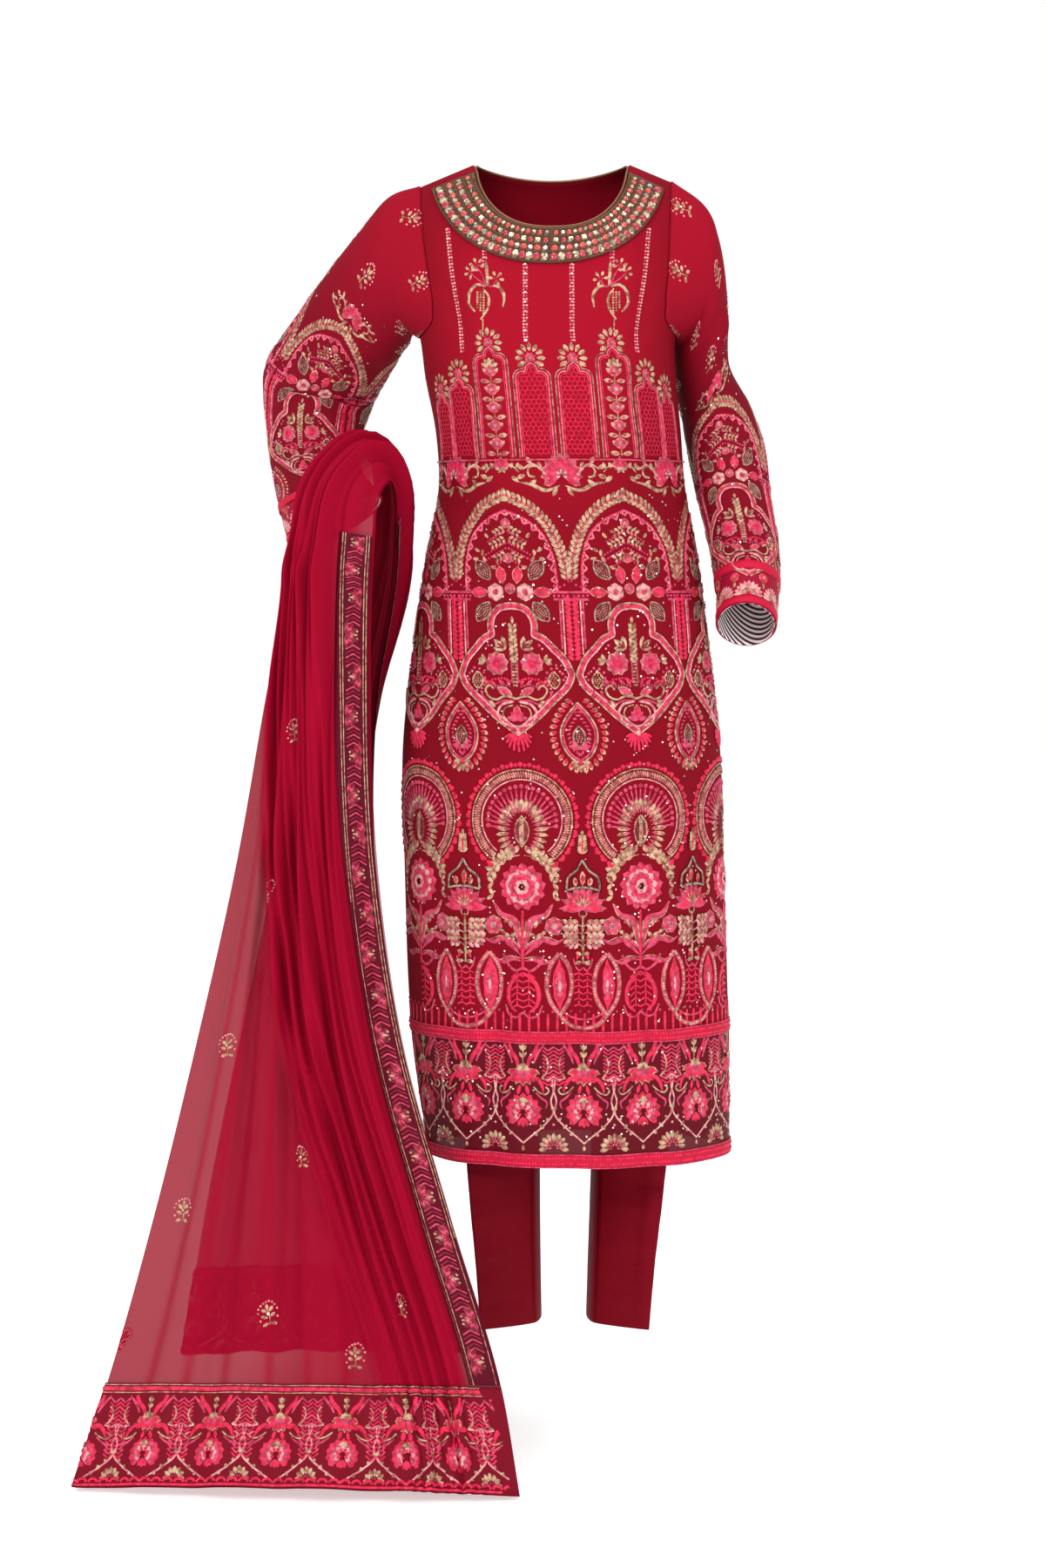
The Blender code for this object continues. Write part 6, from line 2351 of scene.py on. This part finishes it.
SKY_LIGHT = 0.75
FLOOR_REACH = 12.0
SENSOR = 24.0
CAMERA_BACK = 3.5
CAMERA_SEES = 1.8
CAMERA_LOWER = 0.25
LINING_IN = 0.0007
LINING_WALL = 0.0004
NET_WALL = 0.0004
FLOOR_GLOW = 0.35
FACES = (("front", -1), ("back", 1))
SIDES = (("right", "left"), ("left", "right"))  # whose arm it is, and where it shows from the front


class SuitSettings(bpy.types.PropertyGroup):
    """What can be set before the suit is dressed."""

    veil_cover: FloatProperty(
        name="Veil cover",
        description="Share of the light that one layer of the veil stops",
        default=0.78,
        min=0.0,
        max=1.0,
        subtype="FACTOR",
    )
    yoke_stones: IntProperty(
        name="Yoke stones", description="Stones in the outer row of the yoke", default=46, min=20, max=80
    )
    floor_colour: FloatVectorProperty(
        name="Floor",
        description="Colour of the studio floor",
        default=(1.0, 1.0, 1.0),
        size=3,
        subtype="COLOR",
    )
    key_power: FloatProperty(
        name="Key light", description="Power of the largest studio light", default=95.0, min=0.0, unit="POWER"
    )


class SUIT_OT_tunic(bpy.types.Operator):
    """Add the front and back of the tunic"""

    bl_idname = "suit.tunic"
    bl_label = "Tunic"

    def execute(self, context):
        # painted shade: the crimson deepens away from the chest, towards the sides and the hem
        look = georgette("crimson georgette", "760517", "90071e")
        for name, face, grid in (("front", -1, (150, 210)), ("back", 1, (110, 150))):

            def panel(u, v, face=face):
                return kameez(u, 1 - (1 - v) ** 1.15, face, BORDER_TOP + SEAM / 2, 0.0)

            piece = cloth(f"georgette_{name}", panel, *grid, look, (f"kameez_{name}",), "georgette")
        return {"FINISHED"}


class SUIT_OT_hem(bpy.types.Operator):
    """Add the organza border and the tapes of the tunic"""

    bl_idname = "suit.hem"
    bl_label = "Hem border"

    def execute(self, context):
        net, braid = organza(), pink_braid()
        for name, face in FACES:
            border = tunic_cloth(face, HEM, BORDER_TOP - SEAM / 2)
            cloth(f"organza_{name}", border, 130, 30, net, (f"hem_border_{name}",), "organza")
            for strip, levels in (("lace_tape", LACE), ("hem_tape", HEM_TAPE)):
                raised = moved_out(tunic_cloth(face, *levels), TRIM_LAY)
                cloth(f"{strip}_braid_{name}", raised, 130, 3, braid, (f"{strip}_{name}",), "braid")
        return {"FINISHED"}


class SUIT_OT_sleeves(bpy.types.Operator):
    """Add both sleeves with their cuffs and tapes"""

    bl_idname = "suit.sleeves"
    bl_label = "Sleeves"

    def execute(self, context):
        # painted shade: the sleeves get a darker copy of the tunic's georgette, deepening further away from
        # the shoulders
        look = georgette("sleeve georgette", "72061a", "8c081f", (0.0, 0.0, -0.06), (0.30, 1e6, 0.22))
        cuff_net = plain("pink organza", srgb("8e0b2a"), 0.6, Specular_IOR_Level=0.1)
        stripes = striped(plain("striped cotton lining", srgb("efe6e6"), 0.8), "efe6e6", "46101f", 0.0045)
        braid = pink_braid()
        join = 1 - CUFF_SHARE
        for side, edge in SIDES:
            main = sleeve_cloth(edge, join + CUFF_GAP_SHARE, 1.0)
            piece = cloth(
                f"georgette_sleeve_{side}", main, 96, 120, look, (f"sleeve_{side}",), "georgette", closed=True
            )
            cuff = sleeve_cloth(edge, 0.0, join - CUFF_GAP_SHARE)
            cloth(f"organza_cuff_{side}", cuff, 96, 14, cuff_net, (f"cuff_{side}",), "organza", closed=True)
            lining = moved_out(cuff, -LINING_IN)
            name = f"cuff_lining_{side}"
            cloth(name, lining, 96, 14, stripes, (), "organza", closed=True, wall=LINING_WALL)
            strips = (
                ("cuff_tape", join - CUFF_TAPE_SHARE / 2, join + CUFF_TAPE_SHARE / 2),
                ("cuff_edging", EDGING_START, CUFF_TAPE_SHARE),
            )
            for name, low, high in strips:
                raised = moved_out(sleeve_cloth(edge, low, high), TRIM_LAY)
                cloth(f"{name}_braid_{side}", raised, 96, 2, braid, (f"{name}_{side}",), "braid", closed=True)
        return {"FINISHED"}


class SUIT_OT_trousers(bpy.types.Operator):
    """Add the trouser panels"""

    bl_idname = "suit.trousers"
    bl_label = "Trousers"

    def execute(self, context):
        look = raw_silk()
        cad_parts["waistband"].data.materials.clear()
        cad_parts["waistband"].data.materials.append(look)
        for side in ("right", "left"):
            for name, face in FACES:
                panel = trouser_cloth(side, face)
                covers = (f"trouser_{side}_{name}",)
                piece = cloth(f"silk_{side}_{name}", panel, 48, 240, look, covers, "raw_silk")
        return {"FINISHED"}


class SUIT_OT_veil(bpy.types.Operator):
    """Add the gathered veil as one sheer cloth"""

    bl_idname = "suit.veil"
    bl_label = "Veil"

    def execute(self, context):
        nodes = ("dupatta_front_fall", "dupatta_over_arm", "dupatta_back_fall")
        across, up = 420, 220
        piece = cloth("chiffon_veil", veil_cloth(), across, up, chiffon(), nodes, "chiffon", wall=0.0)
        v, u = np.meshgrid(np.linspace(0, 1, up + 1), np.linspace(0, 1, across + 1), indexing="ij")
        cover = 1 - (1 - context.scene.suit.veil_cover) ** layers_at(u.ravel(), v.ravel())
        layer = piece.data.attributes.new("cover", "FLOAT", "POINT")
        layer.data.foreach_set("value", cover.astype(np.float32))
        return {"FINISHED"}


class SUIT_OT_veil_borders(bpy.types.Operator):
    """Add the embroidered borders of the veil"""

    bl_idname = "suit.veil_borders"
    bl_label = "Veil borders"

    def execute(self, context):
        nets = {
            "end": plain("crimson net", srgb("72061c"), 0.65, Specular_IOR_Level=0.1, Alpha=0.9),
            "edge": plain("maroon net", srgb("54041a"), 0.65, Specular_IOR_Level=0.1, Alpha=0.94),
        }
        looks = thread_looks()
        for name, strip, long in veil_strips():
            raised = moved_out(strip, TRIM_LAY)
            is_end = name.startswith("end")
            kind, _, face = name.partition("_")
            grid = (360, 14) if is_end else (6, 150)
            covers = (f"dupatta_{kind}_border_{face}",)
            cloth(f"net_{name}", raised, *grid, nets[kind], covers, "veil_border", wall=NET_WALL)
            border, reach, axis = edge_border, (-0.018, 0.018), 0.5
            if is_end:
                border, reach, axis = end_border, (-0.80, 0.28), 0.75
            table = chart(raised, heights_of(0, long), *reach, lambda t, axis=axis: axis, NET_WALL)
            stitched(f"stitches_{name}", border(long * 1000), table, looks, "veil_border")
        high = VEIL_JOINS[0]
        heights = heights_of(0, high, 2 * CHART_ROWS)
        table = chart(veil_cloth(0.0, high), heights, -0.80, 0.28, lambda t: 0.75, 0.0)
        made = Drawing()
        for x, y, dark in VEIL_SPRIGS:
            made.add(sprigs([(x, y)], 1.0, dark, int(y)))
        stitched("veil_sprigs", made, table, looks, "chiffon")
        return {"FINISHED"}


class SUIT_OT_yoke(bpy.types.Operator):
    """Add the bead ground, the stones and the bound edge of the neck"""

    bl_idname = "suit.yoke"
    bl_label = "Jewelled yoke"

    def execute(self, context):
        looks = stone_looks()
        ground = plain("bronze bead ground", srgb("5b3a2a"), 0.5, Metallic=0.4)
        base = moved_out(yoke_place, LAY + YOKE_CLEAR)
        cloth("yoke_ground", base, 108, 12, ground, ("neck_yoke",), "jewelled_yoke", wall=YOKE_WALL)
        beads = scattered("yoke_beads", [bead_ground()], looks)
        stones = scattered("yoke_stones", yoke_groups(context.scene.suit.yoke_stones), looks, False)
        for piece in (beads, stones):
            taken_up(piece, (), "jewelled_yoke")
        points, out, free = neck_loop(60)
        points = points + out * WALL / 2 + free * (PIPING_RADIUS + 3 * SEAM)
        line = bpy.data.curves.new("bronze_piping", "CURVE")
        line.dimensions = "3D"
        spline = line.splines.new("POLY")
        spline.points.add(len(points) - 1)
        for point, place in zip(spline.points, points):
            point.co = (*place, 1)
        spline.use_cyclic_u = True
        line.bevel_depth = PIPING_RADIUS
        line.bevel_resolution = 3
        line.materials.append(plain("bronze cord", srgb("7d5236"), 0.45, Metallic=0.5))
        taken_up(added("bronze_piping", line), ("neck_piping",), "bronze_piping")
        return {"FINISHED"}


class SUIT_OT_front_embroidery(bpy.types.Operator):
    """Embroider the front of the tunic and its border"""

    bl_idname = "suit.front_embroidery"
    bl_label = "Front embroidery"

    def execute(self, context):
        looks = thread_looks()
        table = tunic_chart(-1, HEM, -0.060)
        parts = (
            ("chest_stitches", chest_drawing()),
            ("arch_stitches", row_of(arch_unit(), -UNIT - HALF, 4)),
            ("axis_stitches", row_of(axis_unit(), -UNIT, 3)),
            ("wheel_stitches", row_of(wheel_unit(), -UNIT - HALF, 4)),
            ("bar_stitches", bars(300)),
            ("border_stitches", Drawing().add(hem_border(), 0, -987)),
            ("front_sequins", sparkle(800, -230, 230, -1100, -380, 7)),
        )
        for name, drawing in parts:
            stitched(name, drawing, table, looks, "georgette")
        for side, face in FACES:
            tapes = Drawing()
            for low, high in (LACE, HEM_TAPE):
                tapes.add(braid(low * 1000, high * 1000, 300))
            table = tunic_chart(face, HEM, BORDER_TOP + 0.02, TRIM_LAY + WALL)
            stitched(f"tape_stitches_{side}", tapes, table, looks, "braid")
        return {"FINISHED"}


class SUIT_OT_back_embroidery(bpy.types.Operator):
    """Embroider the back of the tunic with sprigs and its border"""

    bl_idname = "suit.back_embroidery"
    bl_label = "Back embroidery"

    def execute(self, context):
        looks = thread_looks()
        table = tunic_chart(1, HEM, -0.060)
        made = sprigs(staggered(-230, 240, -930, -90, 84), 1.1)
        made.add(hem_border(), 0, -987)
        stitched("back_stitches", made, table, looks, "georgette")
        return {"FINISHED"}


class SUIT_OT_sleeve_embroidery(bpy.types.Operator):
    """Embroider both sleeves and cuffs"""

    bl_idname = "suit.sleeve_embroidery"
    bl_label = "Sleeve embroidery"

    def execute(self, context):
        looks = thread_looks()
        for side, edge in SIDES:
            table = sleeve_chart(edge)
            made = sleeve_drawing(edge).add(cuff_drawing())
            made.add(sparkle(130, -170, 170, 10, 330, 9))
            stitched(f"sleeve_stitches_{side}", made, table, looks, "georgette")
        return {"FINISHED"}


class SUIT_OT_studio(bpy.types.Operator):
    """Add the floor, the lights, the sky and the camera"""

    bl_idname = "suit.studio"
    bl_label = "Studio"

    def execute(self, context):
        scene = context.scene
        wide = 2 * FLOOR_REACH
        mesh = grid_mesh("floor", lambda u, v: np.stack([u - 0.5, v - 0.5, 0 * u], axis=-1) * wide, 1, 1)
        colour = (*scene.suit.floor_colour, 1.0)
        look = plain("pale floor", colour, 0.7, Emission_Color=colour, Emission_Strength=FLOOR_GLOW)
        mesh.materials.append(look)
        floor = added("floor", mesh)
        floor.location.z = CAD_BOX[0][2] - 0.002
        power = scene.suit.key_power
        lights = (
            ("key", (-1.8, -3.4, 1.6), (0.0, 0.0, -0.6), 1.8, power),
            ("fill", (2.6, -3.0, 0.4), (0.0, 0.0, -0.7), 2.2, power * 0.45),
            ("top", (0.2, -0.6, 2.6), (0.0, 0.0, -0.6), 2.4, power * 0.4),
        )
        for name, place, aim, size, watts in lights:
            lamp = bpy.data.lights.new(name, "AREA")
            lamp.energy, lamp.size = watts, size
            light = added(name, lamp)
            light.location = place
            light.rotation_euler = (Vector(aim) - Vector(place)).to_track_quat("-Z", "Y").to_euler()
        world = bpy.data.worlds.new("studio")
        world.use_nodes = True
        tree = world.node_tree
        seen = add_node(tree, "ShaderNodeLightPath").outputs["Is Camera Ray"]
        strength = add_node(tree, "ShaderNodeMapRange", {"Value": seen, "To Min": SKY_LIGHT, "To Max": 1.0})
        tree.links.new(strength.outputs[0], tree.nodes["Background"].inputs["Strength"])
        tree.nodes["Background"].inputs["Color"].default_value = (1.0, 1.0, 1.0, 1.0)
        scene.world = world
        lens = bpy.data.cameras.new("camera")
        lens.sensor_width = SENSOR
        lens.lens = SENSOR * CAMERA_BACK / CAMERA_SEES
        lens.shift_y = -CAMERA_LOWER / CAMERA_SEES
        camera = added("camera", lens)
        camera.location = (-0.033, -CAMERA_BACK, -0.46)
        camera.rotation_euler = (np.pi / 2, 0.0, 0.0)
        scene.camera = camera
        scene.view_settings.view_transform = "Standard"
        return {"FINISHED"}


OPERATORS = (
    SUIT_OT_tunic,
    SUIT_OT_hem,
    SUIT_OT_sleeves,
    SUIT_OT_trousers,
    SUIT_OT_veil,
    SUIT_OT_veil_borders,
    SUIT_OT_yoke,
    SUIT_OT_front_embroidery,
    SUIT_OT_back_embroidery,
    SUIT_OT_sleeve_embroidery,
    SUIT_OT_studio,
)


class SUIT_PT_panel(bpy.types.Panel):
    """The suit's settings and steps"""

    bl_label = "Salwar kameez suit"
    bl_space_type = "VIEW_3D"
    bl_region_type = "UI"
    bl_category = "Suit"

    def draw(self, context):
        for name in ("veil_cover", "yoke_stones", "floor_colour", "key_power"):
            self.layout.prop(context.scene.suit, name)
        for step in OPERATORS:
            self.layout.operator(step.bl_idname)


CLASSES = (SuitSettings, *OPERATORS, SUIT_PT_panel)


def register():
    for made in CLASSES:
        bpy.utils.register_class(made)
    bpy.types.Scene.suit = PointerProperty(type=SuitSettings)


def unregister():
    del bpy.types.Scene.suit
    for made in reversed(CLASSES):
        bpy.utils.unregister_class(made)


def main():
    register()
    for step in OPERATORS:
        group, name = step.bl_idname.split(".")
        getattr(getattr(bpy.ops, group), name)()
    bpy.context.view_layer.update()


if __name__ == "__main__":
    main()
